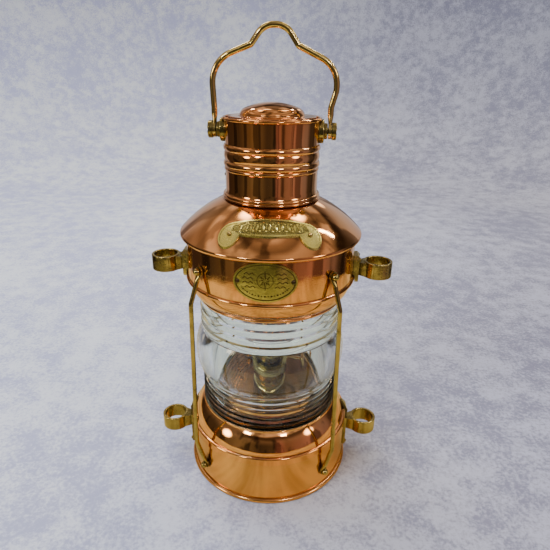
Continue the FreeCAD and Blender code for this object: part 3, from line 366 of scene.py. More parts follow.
def outline(steps):
    """(radius, height) points of a closed outline, long straight runs divided."""
    points = [steps[0]]
    for step in list(steps[1:]) + [steps[0]]:
        here = points[-1]
        if is_arc(step):
            points += arc_points(here, step[0], step[1])
            continue
        length = math.dist(here, step)
        if length < 1e-6:
            continue
        parts = max(1, round(length / STRAIGHT_STEP))
        for i in range(1, parts + 1):
            points.append((here[0] + (step[0] - here[0]) * i / parts,
                           here[1] + (step[1] - here[1]) * i / parts))
    return points[:-1]


def uneven(angle, height, amount, waves):
    """Slight hand-spun unevenness of a wall, in millimetres."""
    total = 0.0
    for lobes, pitch, phase, share in waves:
        total += share * math.sin(lobes * angle + pitch * height + phase)
    return amount * total


def lathe(name, steps, amount=0.0):
    """Turned piece as a closed mesh, with crisp corners kept by angle."""
    points = outline(steps)
    waves = []
    for lobes in (2, 3, 5, 8, 13):
        waves.append((lobes, rng.uniform(-0.12, 0.12), rng.uniform(0, 6.28), 1.6 / lobes))
    verts, rows = [], []
    for radius, height in points:
        if radius < 1e-6:
            rows.append([len(verts)] * SEGMENTS)
            verts.append((0.0, 0.0, height * MM))
            continue
        row = []
        for k in range(SEGMENTS):
            angle = 2.0 * math.pi * k / SEGMENTS
            r = radius - INSIDE_CAD - abs(uneven(angle, height, amount, waves))
            row.append(len(verts))
            verts.append((r * math.cos(angle) * MM, r * math.sin(angle) * MM, height * MM))
        rows.append(row)
    faces = []
    for i, row in enumerate(rows):
        following = rows[(i + 1) % len(rows)]
        for k in range(SEGMENTS):
            j = (k + 1) % SEGMENTS
            ring = [row[k], row[j], following[j], following[k]]
            corners = list(dict.fromkeys(ring))
            if len(corners) > 2:
                faces.append(corners)
    mesh = mesh_from(name, verts, faces)
    finish_mesh(mesh)
    return new_object(name, mesh)


def finish_mesh(mesh, sharp=38.0):
    """Faces outwards, smooth shading with sharp edges by angle."""
    work = bmesh.new()
    work.from_mesh(mesh)
    bmesh.ops.recalc_face_normals(work, faces=work.faces)
    work.to_mesh(mesh)
    work.free()
    mesh.shade_smooth()
    mesh.set_sharp_from_angle(angle=math.radians(sharp))


SHEET, FIT = 1.0, 0.05
BASE_R, LIP_R, FOOT_R = 78.5, 79.5, 81.0
COLLAR_R, SEAT_RIM_R, SEAT_Z = 53.75, 66.8, 71.0
BAND_R, BAND_RIM_R, BAND_BOTTOM_Z = 75.2, 77.0, 202.6
EAVE_R, EAVE_Z, DOME_TOP_R, DOME_TOP_Z = 80.2, 245.0, 40.8, 274.4
CHIMNEY_R, RIM_R = 39.2, 41.0
LID_R, LID_Z, LID_BRIM, LID_TOP_Z = 36.4, 340.6, 0.9, 352.1
LID_SHOULDER_R, LID_SHOULDER_CENTRE_R, LID_CROWN_BALL_R, LID_FOOT_LEAN = 8.0, 19.1, 58.0, 78.0
LENS_INNER_R, LENS_END_R, LENS_BOTTOM_Z, LENS_TOP_Z = 59.2, 64.2, 72.4, 189.4
BELT_BOTTOM_Z, BELT_TOP_Z, BELT_R, BELT_FOOT_R, BELT_HEAD_R = 109.0, 153.0, 71.6, 67.0, 65.6
BELT_HOLLOW_R, BELT_HOLLOW_MARGIN, RIB_CREST_SHARE = 62.0, 2.0, 0.84
RIB_VALLEY_R, RIB_CREST_R, RIBS_START_Z, RIBS_END_Z = 64.4, 66.0, 74.6, 184.6
LOWER_RIBS, UPPER_RIBS = 6, 4


def rib_steps(bottom_z, pitch):
    """One moulded rib: its face crowns outwards as it rises, then steps back in."""
    middle_r = RIB_VALLEY_R + 0.72 * (RIB_CREST_R - RIB_VALLEY_R)
    crest = (RIB_CREST_R, bottom_z + pitch * RIB_CREST_SHARE)
    return [((middle_r, bottom_z + pitch / 2), crest), (RIB_VALLEY_R, bottom_z + pitch)]


def lens_steps():
    """Outline of the drum lens: ribbed below and above a clear belt that is hollow inside."""
    lower = (BELT_BOTTOM_Z - RIBS_START_Z) / LOWER_RIBS
    upper = (RIBS_END_Z - BELT_TOP_Z) / UPPER_RIBS
    belt_middle_z = (BELT_BOTTOM_Z + BELT_TOP_Z) / 2
    steps = [(LENS_END_R, LENS_BOTTOM_Z), (LENS_END_R, RIBS_START_Z), (RIB_VALLEY_R, RIBS_START_Z)]
    for i in range(LOWER_RIBS):
        steps += rib_steps(RIBS_START_Z + i * lower, lower)
    steps += [(BELT_FOOT_R, BELT_BOTTOM_Z), ((BELT_R, belt_middle_z), (BELT_HEAD_R, BELT_TOP_Z))]
    steps.append((RIB_VALLEY_R, BELT_TOP_Z))
    for i in range(UPPER_RIBS):
        steps += rib_steps(BELT_TOP_Z + i * upper, upper)
    steps += [(LENS_END_R, RIBS_END_Z), (LENS_END_R, LENS_TOP_Z), (LENS_INNER_R, LENS_TOP_Z)]
    steps.append((LENS_INNER_R, BELT_TOP_Z - BELT_HOLLOW_MARGIN))
    steps.append(((BELT_HOLLOW_R, belt_middle_z), (LENS_INNER_R, BELT_BOTTOM_Z + BELT_HOLLOW_MARGIN)))
    steps.append((LENS_INNER_R, LENS_BOTTOM_Z))
    return steps


def lid_skin(inset):
    """Steps up the lid's dome, moved inwards by inset: foot, shoulder arc, tangent crown arc."""
    foot_lean = math.radians(LID_FOOT_LEAN)
    reach = LID_CROWN_BALL_R - LID_SHOULDER_R
    crown_centre_z = LID_TOP_Z - LID_CROWN_BALL_R
    join_lean = math.asin(LID_SHOULDER_CENTRE_R / reach)
    shoulder_centre_z = crown_centre_z + reach * math.cos(join_lean)

    def on_arc(centre_r, centre_z, radius, lean):
        return (centre_r + radius * math.sin(lean), centre_z + radius * math.cos(lean))

    def on_shoulder(lean):
        return on_arc(LID_SHOULDER_CENTRE_R, shoulder_centre_z, LID_SHOULDER_R - inset, lean)
    crown_through = on_arc(0, crown_centre_z, LID_CROWN_BALL_R - inset, join_lean / 2)
    shoulder = (on_shoulder((foot_lean + join_lean) / 2), on_shoulder(join_lean))
    return on_shoulder(foot_lean), shoulder, (crown_through, (0, LID_TOP_Z - inset))


def dome_line(offset):
    """The dome's skin moved outwards by offset: (start, through, end)."""
    return (
        (EAVE_R - 0.9 + 0.7 * offset, EAVE_Z + 1.8 + 0.7 * offset),
        (61.9 + 0.57 * offset, 262.4 + 0.82 * offset),
        (DOME_TOP_R + 0.5 * offset, DOME_TOP_Z + 0.87 * offset))


def shell_outlines():
    """Outlines of the turned copper shells, by CAD node."""
    base_in = BASE_R - SHEET
    lip_in = BASE_R + FIT
    lens_seat = LENS_TOP_Z + 1.4
    bore = LENS_END_R + 0.3
    ring_r = BAND_R - SHEET - FIT
    start, through, end = dome_line(0)
    in_start, in_through, in_end = dome_line(-SHEET)
    spigot = CHIMNEY_R - SHEET - FIT
    wall_in = CHIMNEY_R - SHEET
    lid_in, lid_in_shoulder, lid_in_crown = lid_skin(SHEET)
    lid_foot, lid_shoulder, lid_crown = lid_skin(0)
    brim_z = LID_Z + LID_BRIM
    return {
        "base_band": (
            (base_in, 0), (BASE_R + 0.8, 0), ((FOOT_R, 2.2), (BASE_R, 4.4)),
            (BASE_R, 49.4), (base_in, 49.4)),
        "base_shoulder": (
            (LIP_R, 45.6), (LIP_R, 50.9), ((79.0, 52.4), (77.9, 52.9)), (76.9, 52.9),
            ((72.9, 63.3), (SEAT_RIM_R, 71.7)), (SEAT_RIM_R, 73.2),
            ((SEAT_RIM_R - 0.5, 73.7), (SEAT_RIM_R - 1.0, 73.2)), (SEAT_RIM_R - 1.0, SEAT_Z),
            (COLLAR_R, SEAT_Z), (COLLAR_R, 42.0), (COLLAR_R + SHEET, 42.0),
            (COLLAR_R + SHEET, SEAT_Z - SHEET), (65.8, SEAT_Z - SHEET), ((71.9, 62.6), (76.0, 51.8)),
            (77.7, 51.8), ((78.3, 51.5), (lip_in, 50.8)), (lip_in, 45.6)),
        "glass_top_ring": (
            (bore, 184.9), (65.9, 184.9), ((66.7, 186.0), (66.2, 187.4)),
            ((71.7, 193.8), (ring_r, 203.2)), (ring_r, 215.0), (BAND_R - 2 * SHEET, 215.0),
            (BAND_R - 2 * SHEET, 203.6), ((71.0, 196.2), (69.0, lens_seat + SHEET)),
            (60.6, lens_seat + SHEET), (60.6, lens_seat), (bore, lens_seat)),
        "upper_band": (
            (BAND_R - SHEET, BAND_BOTTOM_Z), (BAND_R + 0.2, BAND_BOTTOM_Z),
            ((BAND_RIM_R, BAND_BOTTOM_Z + 2.0), (BAND_R, BAND_BOTTOM_Z + 4.0)),
            (BAND_R, 243.0), (BAND_R - SHEET, 243.0)),
        "dome_shell": (
            (BAND_R + FIT, 242.0), (78.2, 242.6), ((EAVE_R, EAVE_Z), start), (through, end),
            (DOME_TOP_R - 2.4, end[1] + 0.6), (DOME_TOP_R - 2.4, end[1] - 0.5), in_end,
            (in_through, in_start), (76.6, 243.6), (BAND_R + FIT, 243.6)),
        "chimney_lower_tube": (
            (38.2, 275.1), (41.2, 275.1), ((41.9, 276.0), (41.0, 277.2)), ((41.3, 278.6), (39.9, 279.9)),
            (CHIMNEY_R, 281.2), (CHIMNEY_R, 298.4), ((40.0, 299.9), (39.3, 301.4)),
            ((40.6, 304.1), (39.4, 306.8)), (spigot, 306.8), (spigot, 319.0),
            (spigot - SHEET, 319.0), (spigot - SHEET, 303.0), (38.2, 302.0)),
        "chimney_upper_collar": (
            (wall_in, 307.2), (39.5, 307.2), ((40.2, 310.9), (39.4, 314.5)),
            ((40.6, 317.2), (39.1, 320.0)), (39.1, 322.0), (39.7, 338.2),
            ((RIM_R, 339.0), (RIM_R - 0.3, 340.4)), ((RIM_R - 1.3, 341.0), (RIM_R - 2.3, 340.2)),
            (38.7, 338.2), (wall_in, 322.0)),
        "lid_dome": (
            (lid_in[0], LID_Z), lid_in, lid_in_shoulder, lid_in_crown, lid_crown[1],
            (lid_crown[0], lid_shoulder[1]), (lid_shoulder[0], lid_foot),
            ((lid_foot[0] + 0.3, brim_z + 0.2), (lid_foot[0] + 0.9, brim_z)),
            (LID_R - 0.4, brim_z), ((LID_R, LID_Z + LID_BRIM / 2), (LID_R - 0.4, LID_Z)))}


# --- Plate ornament -------------------------------------------------------------------------------
PLATE, PLATE_GAP, PLATE_FIELD_DEPTH = 1.2, 0.1, 0.35
OVAL_Z, OVAL_TWIST = 225.5, 1.0
OVAL_FIELD_R = BAND_R + PLATE_GAP + PLATE - PLATE_FIELD_DEPTH
ARCH_TOP_R, ARCH_OUTER_R, ARCH_TWIST = 53.1, 67.2, 3.2
ARCH_LOBE_R, ARCH_LOBE_X, ARCH_LOBE_Y = 8.8, 31.2, -60.2
ARCH_FIELD = PLATE_GAP + PLATE - PLATE_FIELD_DEPTH
ARCH_MIDDLE_R, ARCH_SLOPE = 60.4, 0.82
ARCH_HALF_GROOVE, ARCH_HALF_GROUND, ARCH_NARROWING = 6.7, 6.4, 0.0042
SUNK = -0.12


def on_oval(u, v, lift):
    """Point on the oval plate's field: u to the right, v up, lift outwards, in millimetres."""
    angle = u / OVAL_FIELD_R + math.radians(OVAL_TWIST)
    r = OVAL_FIELD_R + lift
    return (r * math.sin(angle) * MM, -r * math.cos(angle) * MM, (OVAL_Z + v) * MM)


DOME_CENTRE_R, DOME_CENTRE_Z, DOME_BALL_R = circle_through(*dome_line(ARCH_FIELD))
ARCH_TOP_SPAN = ARCH_TOP_R + ARCH_LOBE_R
ARCH_TOP_CENTRE = ((ARCH_LOBE_X ** 2 + ARCH_LOBE_Y ** 2 - ARCH_TOP_SPAN ** 2)
                   / (2 * (ARCH_TOP_SPAN + ARCH_LOBE_Y)))


def arch_edge(angle):
    """Radius from the lamp's axis to the arched plate's flatter upper edge."""
    c = ARCH_TOP_CENTRE
    big_r = ARCH_TOP_R + c
    return math.sqrt((c * math.cos(angle)) ** 2 + big_r ** 2 - c ** 2) - c * math.cos(angle)


def on_arch(u, v, lift):
    """Point on the arched plate's field: u along the band, v towards the chimney."""
    angle = u / ARCH_MIDDLE_R
    plan_r = (arch_edge(angle) + ARCH_OUTER_R) / 2 - v * ARCH_SLOPE
    lean = math.asin((plan_r - DOME_CENTRE_R) / DOME_BALL_R)
    reach = DOME_BALL_R + lift
    r = DOME_CENTRE_R + reach * math.sin(lean)
    z = DOME_CENTRE_Z + reach * math.cos(lean)
    angle += math.radians(ARCH_TWIST)
    return (r * math.sin(angle) * MM, -r * math.cos(angle) * MM, z * MM)


class Relief:
    """Collects small raised shapes on a plate into one mesh."""

    def __init__(self, surface):
        self.surface = surface
        self.verts = []
        self.faces = []

    def point(self, u, v, lift):
        self.verts.append(self.surface(u, v, lift))
        return len(self.verts) - 1

    def block(self, corners, height, taper=0.12):
        """Raised shape with sloping sides from a convex outline."""
        cu = sum(c[0] for c in corners) / len(corners)
        cv = sum(c[1] for c in corners) / len(corners)
        low = [self.point(u, v, SUNK) for u, v in corners]
        top = [self.point(u + (cu - u) * taper, v + (cv - v) * taper, height) for u, v in corners]
        count = len(corners)
        for i in range(count):
            j = (i + 1) % count
            self.faces.append([low[i], low[j], top[j], top[i]])
        self.faces += [top, low[::-1]]

    def facet(self, corners, peak, height):
        """Pyramid over a convex outline, with its peak over the point peak."""
        low = [self.point(u, v, SUNK) for u, v in corners]
        tip = self.point(peak[0], peak[1], height)
        count = len(corners)
        for i in range(count):
            self.faces.append([low[i], low[(i + 1) % count], tip])
        self.faces.append(low[::-1])

    def bead(self, u, v, radius, height, sides=10):
        """Round bead made of two rings and a crown."""
        rings = []
        for share, lift in ((1.0, SUNK), (0.92, height * 0.45), (0.55, height * 0.88)):
            ring = []
            for k in range(sides):
                angle = 2 * math.pi * k / sides
                ring.append(self.point(
                    u + radius * share * math.cos(angle), v + radius * share * math.sin(angle), lift))
            rings.append(ring)
        tip = self.point(u, v, height)
        for lower, upper in zip(rings, rings[1:]):
            for k in range(sides):
                j = (k + 1) % sides
                self.faces.append([lower[k], lower[j], upper[j], upper[k]])
        for k in range(sides):
            self.faces.append([rings[-1][k], rings[-1][(k + 1) % sides], tip])
        self.faces.append(rings[0][::-1])

    def ribbon(self, path, width, height, closed=False):
        """Narrow raised line along a path."""
        count = len(path)
        rows = []
        for i, (u, v) in enumerate(path):
            before = path[i - 1] if i or closed else path[i]
            after = path[(i + 1) % count] if i + 1 < count or closed else path[i]
            du, dv = after[0] - before[0], after[1] - before[1]
            length = math.hypot(du, dv)
            nu, nv = -dv / length * width / 2, du / length * width / 2
            rows.append([
                self.point(u + nu, v + nv, SUNK), self.point(u + nu * 0.7, v + nv * 0.7, height),
                self.point(u - nu * 0.7, v - nv * 0.7, height), self.point(u - nu, v - nv, SUNK)])
        for i in range(count if closed else count - 1):
            a, b = rows[i], rows[(i + 1) % count]
            for k in range(4):
                j = (k + 1) % 4
                self.faces.append([a[k], a[j], b[j], b[k]])
        if not closed:
            self.faces += [rows[0][::-1], rows[-1]]

    def build(self, name, sharp=30.0):
        mesh = mesh_from(name, self.verts, self.faces)
        finish_mesh(mesh, sharp)
        return new_object(name, mesh)


def ellipse_path(half_u, half_v, count, centre_v=0.0):
    """Closed ellipse as (u, v) points."""
    path = []
    for k in range(count):
        angle = 2 * math.pi * k / count
        path.append((half_u * math.cos(angle), centre_v + half_v * math.sin(angle)))
    return path


STAR_RING_R, STAR_LONG_R, STAR_SHORT_R, STAR_WAIST_R = 6.3, 8.2, 5.2, 2.2
WAVE_LENGTH, WAVE_PITCH, WAVE_HEIGHT = 3.9, 4.4, 1.5


def oval_ornament():
    """Dark-filled engraving of the oval plate: ringed compass star, waves, beads and a border line."""
    art = Relief(on_oval)
    art.ribbon(ellipse_path(23.4, 14.7, 120), 0.8, 0.05, closed=True)
    star_v = 1.6
    for k in range(8):
        angle = math.pi / 4 * k
        long_r = STAR_LONG_R if k % 2 == 0 else STAR_SHORT_R
        side_r, spread = STAR_WAIST_R, math.pi / 8
        tip = (long_r * math.cos(angle), star_v + long_r * math.sin(angle))
        right = (side_r * math.cos(angle - spread), star_v + side_r * math.sin(angle - spread))
        left = (side_r * math.cos(angle + spread), star_v + side_r * math.sin(angle + spread))
        art.block([(0.35 * math.cos(angle), star_v + 0.35 * math.sin(angle)), right, tip], 0.07, 0.05)
        art.ribbon([tip, left], 0.45, 0.06)
    art.ribbon(ellipse_path(STAR_RING_R, STAR_RING_R, 48, star_v), 0.55, 0.05, closed=True)
    for side in (-1, 1):
        for row, first in ((6.2, 8.2), (2.6, 9.6), (-1.0, 9.4), (-4.6, 7.6)):
            for k in range(2):
                start = first + WAVE_PITCH * k
                path = []
                for i in range(9):
                    t = i / 8
                    path.append((side * (start + WAVE_LENGTH * t), row + WAVE_HEIGHT * math.sin(math.pi * t)))
                art.ribbon(path, 0.95, 0.06)
    for k in range(19):
        angle = math.radians(205 + 130 * k / 18)
        art.bead(20.4 * math.cos(angle), 11.6 * math.sin(angle), 0.85 if k % 2 else 0.55, 0.07, 8)
    return art.build("oval_plate_engraving")


MOTIF_PITCH, MOTIF_COUNT = 4.84, 11
ARCH_MOTIFS = [MOTIF_PITCH * (k - (MOTIF_COUNT - 1) / 2) for k in range(MOTIF_COUNT)]


def lozenge(u, half_u, half_v, lean):
    """Corners of a slightly leaning lozenge about (u, 0)."""
    return [(u - half_u, -lean), (u - lean, -half_v), (u + half_u, lean), (u + lean, half_v)]


def arch_ornament():
    """Cast relief of the arched plate: tall lozenges between bars with beaded ends."""
    art = Relief(on_arch)
    for k, u in enumerate(ARCH_MOTIFS):
        lean = 0.6 if k % 2 else -0.6
        art.facet(lozenge(u, 1.75, 4.4, lean), (u, 0), 0.8)
        if k:
            middle = u - MOTIF_PITCH / 2
            art.bead(middle, 3.3, 0.85, 0.5, 8)
            art.bead(middle, -3.3, 0.85, 0.5, 8)
            art.ribbon([(middle, -1.9), (middle, 1.9)], 0.85, 0.45)
    return art.build("arched_plate_relief")


def arch_shadow_lines():
    """Painted shadow: a dark line inside each of the arched plate's two long borders."""
    art = Relief(on_arch)
    for side in (-1, 1):
        line = []
        for i in range(-31, 32):
            u = 0.8 * i
            line.append((u, side * (ARCH_HALF_GROOVE - ARCH_NARROWING * u * u)))
        art.ribbon(line, 0.55, 0.14)
    return art.build("arched_plate_shadow_line")


def arch_stipple():
    """Punched, darkened ground round the arched plate's relief."""
    art = Relief(on_arch)
    for row in range(-9, 10):
        for column in range(-36, 37):
            u = 0.8 * (column + 0.5 * (row % 2)) + rng.uniform(-0.09, 0.09)
            v = 0.72 * row + rng.uniform(-0.08, 0.08)
            if abs(v) < ARCH_HALF_GROUND - ARCH_NARROWING * u * u:
                art.bead(u, v, 0.4, 0.13, 6)
    return art.build("arched_plate_stipple")


# --- Wick -------------------------------------------------------------------------------------------
WICK_WIDTH, WICK_THICK, WICK_BOTTOM_Z, WICK_TOP_Z = 16.0, 2.4, 24.0, 121.0
WICK_CHAR_LOW, WICK_CHAR_HIGH = 0.1165, 0.1185


def wick_strip():
    """Flat woven wick: a strip with a plain weave on its faces and a frayed, charred top edge."""
    around_count, pitch = 112, 0.75
    rows = 260
    verts, faces = [], []
    fray = rng.uniform(0.0, 0.7, around_count)
    for i in range(rows + 1):
        z = WICK_BOTTOM_Z + (WICK_TOP_Z - WICK_BOTTOM_Z) * i / rows
        for k in range(around_count):
            angle = 2 * math.pi * k / around_count
            c, s = math.cos(angle), math.sin(angle)
            across = math.copysign(abs(c) ** 0.22, c)
            deep = math.copysign(abs(s) ** 0.45, s)
            warp = math.cos(math.pi * across * WICK_WIDTH / 2 / pitch)
            weave = 0.5 + 0.5 * warp * math.cos(math.pi * z / pitch)
            sink = 0.16 * (1 - weave)
            x = across * (WICK_WIDTH / 2 - sink)
            y = deep * (WICK_THICK / 2 - sink)
            drop = fray[k] if i == rows else 0.0
            verts.append((x * MM, y * MM, (z - drop) * MM))
    for i in range(rows):
        for k in range(around_count):
            j = (k + 1) % around_count
            a, b = i * around_count, (i + 1) * around_count
            faces.append([a + k, a + j, b + j, b + k])
    faces.append(list(range(around_count))[::-1])
    top = rows * around_count
    inner = len(verts)
    for k in range(around_count):
        x, y, z = verts[top + k]
        verts.append((x * 0.93, y * 0.55, z + (0.1 - 0.35 * (k % 3) / 2) * MM))
    for k in range(around_count):
        j = (k + 1) % around_count
        faces.append([top + k, top + j, inner + j, inner + k])
    faces.append([inner + k for k in range(around_count)])
    mesh = mesh_from("wick_woven", verts, faces)
    finish_mesh(mesh, 60.0)
    return new_object("wick_woven", mesh)


# --- Stage and light --------------------------------------------------------------------------------
def stage_sheet(name, profile, count=96):
    """Sheet turned about the lamp from (radius, height) points in metres."""
    verts, faces = [], []
    for r, z in profile:
        for k in range(count):
            angle = 2 * math.pi * k / count
            verts.append((r * math.cos(angle), r * math.sin(angle), z))
    for i in range(len(profile) - 1):
        for k in range(count):
            j = (k + 1) % count
            a, b = i * count, (i + 1) * count
            faces.append([a + k, a + j, b + j, b + k])
    mesh = mesh_from(name, verts, faces)
    mesh.shade_smooth()
    obj = new_object(name, mesh)
    return obj


def make_stage():
    """Round pale table top, and round it a floor and curved backdrop that metal doesn't reflect."""
    material = stage_material()
    table_r, sweep_r, sweep = 0.56, 1.3, 0.8
    table = stage_sheet("stage_table", [(0.0001, 0.0), (0.2, 0.0), (table_r, 0.0)])
    wall = [(table_r, 0.0), (sweep_r, 0.0)]
    for i in range(1, 17):
        angle = math.pi / 2 * i / 16
        wall.append((sweep_r + sweep * math.sin(angle), sweep * (1 - math.cos(angle))))
    wall.append((sweep_r + sweep, 3.2))
    backdrop = stage_sheet("stage_backdrop", wall)
    for obj in (table, backdrop):
        obj.data.materials.append(material)
    card = stage_sheet("stage_card", [(0.0001, 0.0003), (table_r, 0.0003)])
    card.data.materials.append(card_material())
    card.visible_camera = False
    card.visible_diffuse = False
    card.visible_transmission = False
    card.visible_shadow = False
    table.visible_glossy = False
    backdrop.visible_glossy = False
    backdrop.visible_diffuse = False
    backdrop.visible_shadow = False


def area_light(name, azimuth, height, distance, size, power, tint=(1, 1, 1), aim_z=0.2):
    """Rectangular softbox aimed at the lamp; azimuth 0 is in front, 90 at the lamp's right."""
    data = bpy.data.lights.new(name, "AREA")
    data.shape = "RECTANGLE"
    data.size, data.size_y = size
    data.energy = power
    data.color = tint
    light = bpy.data.objects.new(name, data)
    bpy.context.scene.collection.objects.link(light)
    a = math.radians(azimuth)
    light.location = (distance * math.sin(a), -distance * math.cos(a), height)
    aim = Vector((0, 0, aim_z)) - light.location
    light.rotation_euler = aim.to_track_quat("-Z", "Y").to_euler()
    return light


WARM, COOL, SKY = (1.0, 0.93, 0.82), (0.72, 0.84, 1.0), (0.62, 0.76, 1.0)
LAMPS = (
    ("font_left", -152, 1.10, 0.9, (0.12, 0.08), 1.1, WARM, 0.1),
    ("font_right", 159, 1.10, 0.9, (0.12, 0.08), 1.1, WARM, 0.1),
    ("ribs_left", -31, 0.95, 1.2, (0.20, 0.10), 2.2, WARM),
    ("ribs_right", 28, 0.95, 1.2, (0.20, 0.10), 2.2, WARM),
    ("strip_right", 116, 0.95, 0.75, (0.03, 0.22), 0.9, WARM))
SOFTBOXES = (
    ("key_left", -50, 0.9, 1.3, (0.7, 0.7), 12, COOL),
    ("sky_fill", -125, 2.4, 1.3, (2.2, 2.2), 50, SKY))


def make_lights():
    """Small lamps that show as glints, and two large softboxes that polished metal doesn't mirror."""
    for lamp in LAMPS:
        area_light(*lamp)
    for softbox in SOFTBOXES:
        area_light(*softbox).visible_glossy = False


# The room that the metal mirrors. ROOM: (azimuth in degrees, colour) of the walls.
# CEILING and RISE: (sine of the elevation, value). RISE blends from the walls to the ceiling.
# GLOWS: (azimuth, elevation, inner and outer radius in degrees, colour) of soft bright patches.
ROOM = (
    (-180, (0.42, 0.41, 0.43)), (-138, (0.40, 0.38, 0.38)), (-124, (0.035, 0.026, 0.018)),
    (-84, (0.045, 0.038, 0.026)), (-52, (0.10, 0.082, 0.05)), (-36, (0.16, 0.135, 0.085)),
    (-22, (0.09, 0.078, 0.05)), (-6, (0.045, 0.04, 0.03)), (11, (0.06, 0.055, 0.042)),
    (17, (0.30, 0.17, 0.17)), (30, (0.16, 0.11, 0.085)), (46, (0.20, 0.13, 0.115)),
    (64, (0.30, 0.19, 0.18)), (94, (0.17, 0.14, 0.15)), (108, (0.04, 0.034, 0.028)),
    (124, (0.05, 0.042, 0.034)), (140, (0.40, 0.38, 0.38)), (180, (0.42, 0.41, 0.43)))
CEILING = (
    (0.40, (0.20, 0.165, 0.13)), (0.49, (0.05, 0.036, 0.022)), (0.57, (0.05, 0.036, 0.022)),
    (0.63, (0.58, 0.49, 0.38)), (0.71, (0.46, 0.38, 0.29)), (0.755, (0.07, 0.05, 0.03)),
    (0.80, (0.36, 0.30, 0.22)), (0.88, (0.46, 0.39, 0.30)), (0.925, (0.14, 0.11, 0.08)),
    (0.965, (0.26, 0.21, 0.15)), (0.985, (0.62, 0.54, 0.43)), (1.0, (0.30, 0.25, 0.19)))
RISE = ((0.20, (0, 0, 0)), (0.62, (1, 1, 1)))
CLUTTER_STRETCH, CLUTTER_DARK, CLUTTER_PALE = (3.6, 3.6, 0.6), 0.45, 1.35
GLOWS = (
    (-58, 16, 1, 9, (15, 12.5, 8)), (66, 23, 1, 9, (12, 10, 6.5)),
    (-144, 60, 0, 8, (11, 9.0, 5.6)), (148, 60, 0, 8, (11, 9.0, 5.6)),
    (161, 24, 1, 5, (3.0, 2.5, 1.7)),
    (-168, 52, 1, 5, (5, 4.4, 3.2)), (-122, 66, 1, 6, (6, 5.2, 4)),
    (-31, 42, 2, 9, (1.2, 1.1, 0.8)), (28, 42, 2, 9, (1.2, 1.1, 0.8)),
    (-118, 34, 6, 34, (0.20, 0.16, 0.12)), (-62, 40, 6, 26, (0.16, 0.13, 0.10)))


def make_world():
    """Quiet room round the stage: walls with soft upright stripes, a ringed ceiling, soft lamps."""
    n = WorldNodes("studio")
    x, y, z = n.add("ShaderNodeSeparateXYZ", {"Vector": n.position}).outputs
    heading = n.math("ARCTAN2", x, n.math("MULTIPLY", y, -1.0))
    turn = n.add("ShaderNodeMapRange", {"Value": heading, "From Min": -math.pi, "From Max": math.pi})
    walls = n.stops(turn.outputs["Result"], [(d / 360 + 0.5, colour) for d, colour in ROOM], "EASE")
    lit = n.mix(n.stops(z, RISE, "EASE"), walls, n.stops(z, CEILING, "LINEAR"))
    clutter = n.noise(1.0, 3.0, 0.5, n.stretched(CLUTTER_STRETCH))
    shade = n.ramp(clutter, 0.45, 0.53, CLUTTER_DARK, CLUTTER_PALE)
    lit = n.add("ShaderNodeVectorMath", {0: lit, 1: shade}, operation="MULTIPLY").outputs[0]
    for azimuth, elevation, inner, outer, colour in GLOWS:
        a, e = math.radians(azimuth), math.radians(elevation)
        towards = (math.sin(a) * math.cos(e), -math.cos(a) * math.cos(e), math.sin(e))
        near = n.add("ShaderNodeVectorMath", {0: n.position, 1: towards}, operation="DOT_PRODUCT")
        fade = n.ramp(near.outputs["Value"], math.cos(math.radians(outer)), math.cos(math.radians(inner)))
        lit = n.add("ShaderNodeVectorMath", {0: fade, 1: colour, 2: lit}, operation="MULTIPLY_ADD").outputs[0]
    n.shade(Color=lit)


# --- Everything together ----------------------------------------------------------------------------
def paint(obj, material):
    obj.data.materials.clear()
    obj.data.materials.append(material)


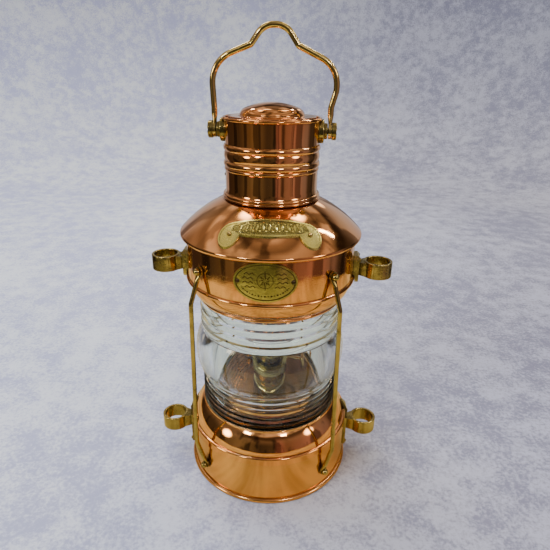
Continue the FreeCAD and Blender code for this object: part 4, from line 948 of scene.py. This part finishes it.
def make_materials():
    """Every material but the wick's, by a plain name."""
    return {
        "copper": copper_material(
            "copper_spun", rgb(0.94, 0.49, 0.215), rgb(0.88, 0.38, 0.15), 0.035, 0.03),
        "copper_plain": copper_material(
            "copper_satin", rgb(0.93, 0.50, 0.21), rgb(0.84, 0.40, 0.15), 0.12, 0.08),
        # A far darker copy of the spun copper for the font inside the lens: painted shade.
        "copper_font": copper_material(
            "copper_font", rgb(0.34, 0.13, 0.03), rgb(0.09, 0.03, 0.01), 0.05, 0.04),
        "brass": brass_material(
            "brass_cast", rgb(0.80, 0.62, 0.26), rgb(0.56, 0.42, 0.15), 0.10, 0.12, 0.00002),
        "brass_aged": brass_material(
            "brass_aged", rgb(0.47, 0.38, 0.15), rgb(0.22, 0.175, 0.065), 0.13, 0.16, 0.00004),
        "plate_brass": brass_material(
            "brass_plate", rgb(1.0, 0.92, 0.33), rgb(0.96, 0.82, 0.20), 0.20, 0.10, 0.00003),
        "plate_ground": brass_material(
            "brass_plate_ground", rgb(0.22, 0.19, 0.055), rgb(0.10, 0.085, 0.03), 0.25, 0.15, 0.00003),
        "plate_oval": brass_material(
            "brass_plate_oval", rgb(0.58, 0.53, 0.16), rgb(0.36, 0.33, 0.09), 0.16, 0.10, 0.00002),
        "dark_metal": brass_material(
            "metal_dark", rgb(0.10, 0.07, 0.045), rgb(0.05, 0.035, 0.025), 0.3, 0.2, 0.00003),
        "glass": glass_material(), "gasket": gasket_material(), "cork": cork_material()}


def make_pieces(looks):
    """Build the Blender pieces and hang each on the frame."""
    for name, steps in shell_outlines().items():
        shell = lathe(name + "_spun", steps, SHELL_UNEVEN)
        paint(shell, looks["copper_plain" if name == "base_band" else "copper"])
        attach(shell, BODY)
        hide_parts(name)
    lens = lathe("lens_moulded", lens_steps(), LENS_UNEVEN)
    paint(lens, looks["glass"])
    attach(lens, BODY)
    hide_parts("lens_glass")
    for piece, look, slot in (
            (oval_ornament(), "dark_metal", "dark_metal"),
            (arch_ornament(), "plate_brass", "plate_brass"),
            # The arched plate's dark lines are painted shadow.
            (arch_shadow_lines(), "dark_metal", "dark_metal"),
            (arch_stipple(), "plate_ground", "plate_brass")):
        paint(piece, looks[look])
        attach(piece, BODY)
    wick = wick_strip()
    paint(wick, cotton_material(WICK_CHAR_LOW, WICK_CHAR_HIGH))
    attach(wick, "wick")
    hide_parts("wick")


def paint_cad_nodes(looks):
    """Paint the CAD nodes that keep their own shape: by name where one is special, else by slot."""
    for name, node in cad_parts.items():
        slot = node.data.materials[0].name.split(".")[0] if node.data.materials else ""
        look = slot
        if name.startswith(("guide_eye", "guard", "pivot", "burner")):
            look = "brass_aged"
        # The font takes the darker copper that paints shade inside the lens.
        elif name.startswith("font_t"):
            look = "copper_font"
        elif name == "oval_plate":
            look = "plate_oval"
        if look in looks:
            paint(node, looks[look])


make_camera()
make_stage()
make_lights()
make_world()
materials = make_materials()
make_pieces(materials)
paint_cad_nodes(materials)
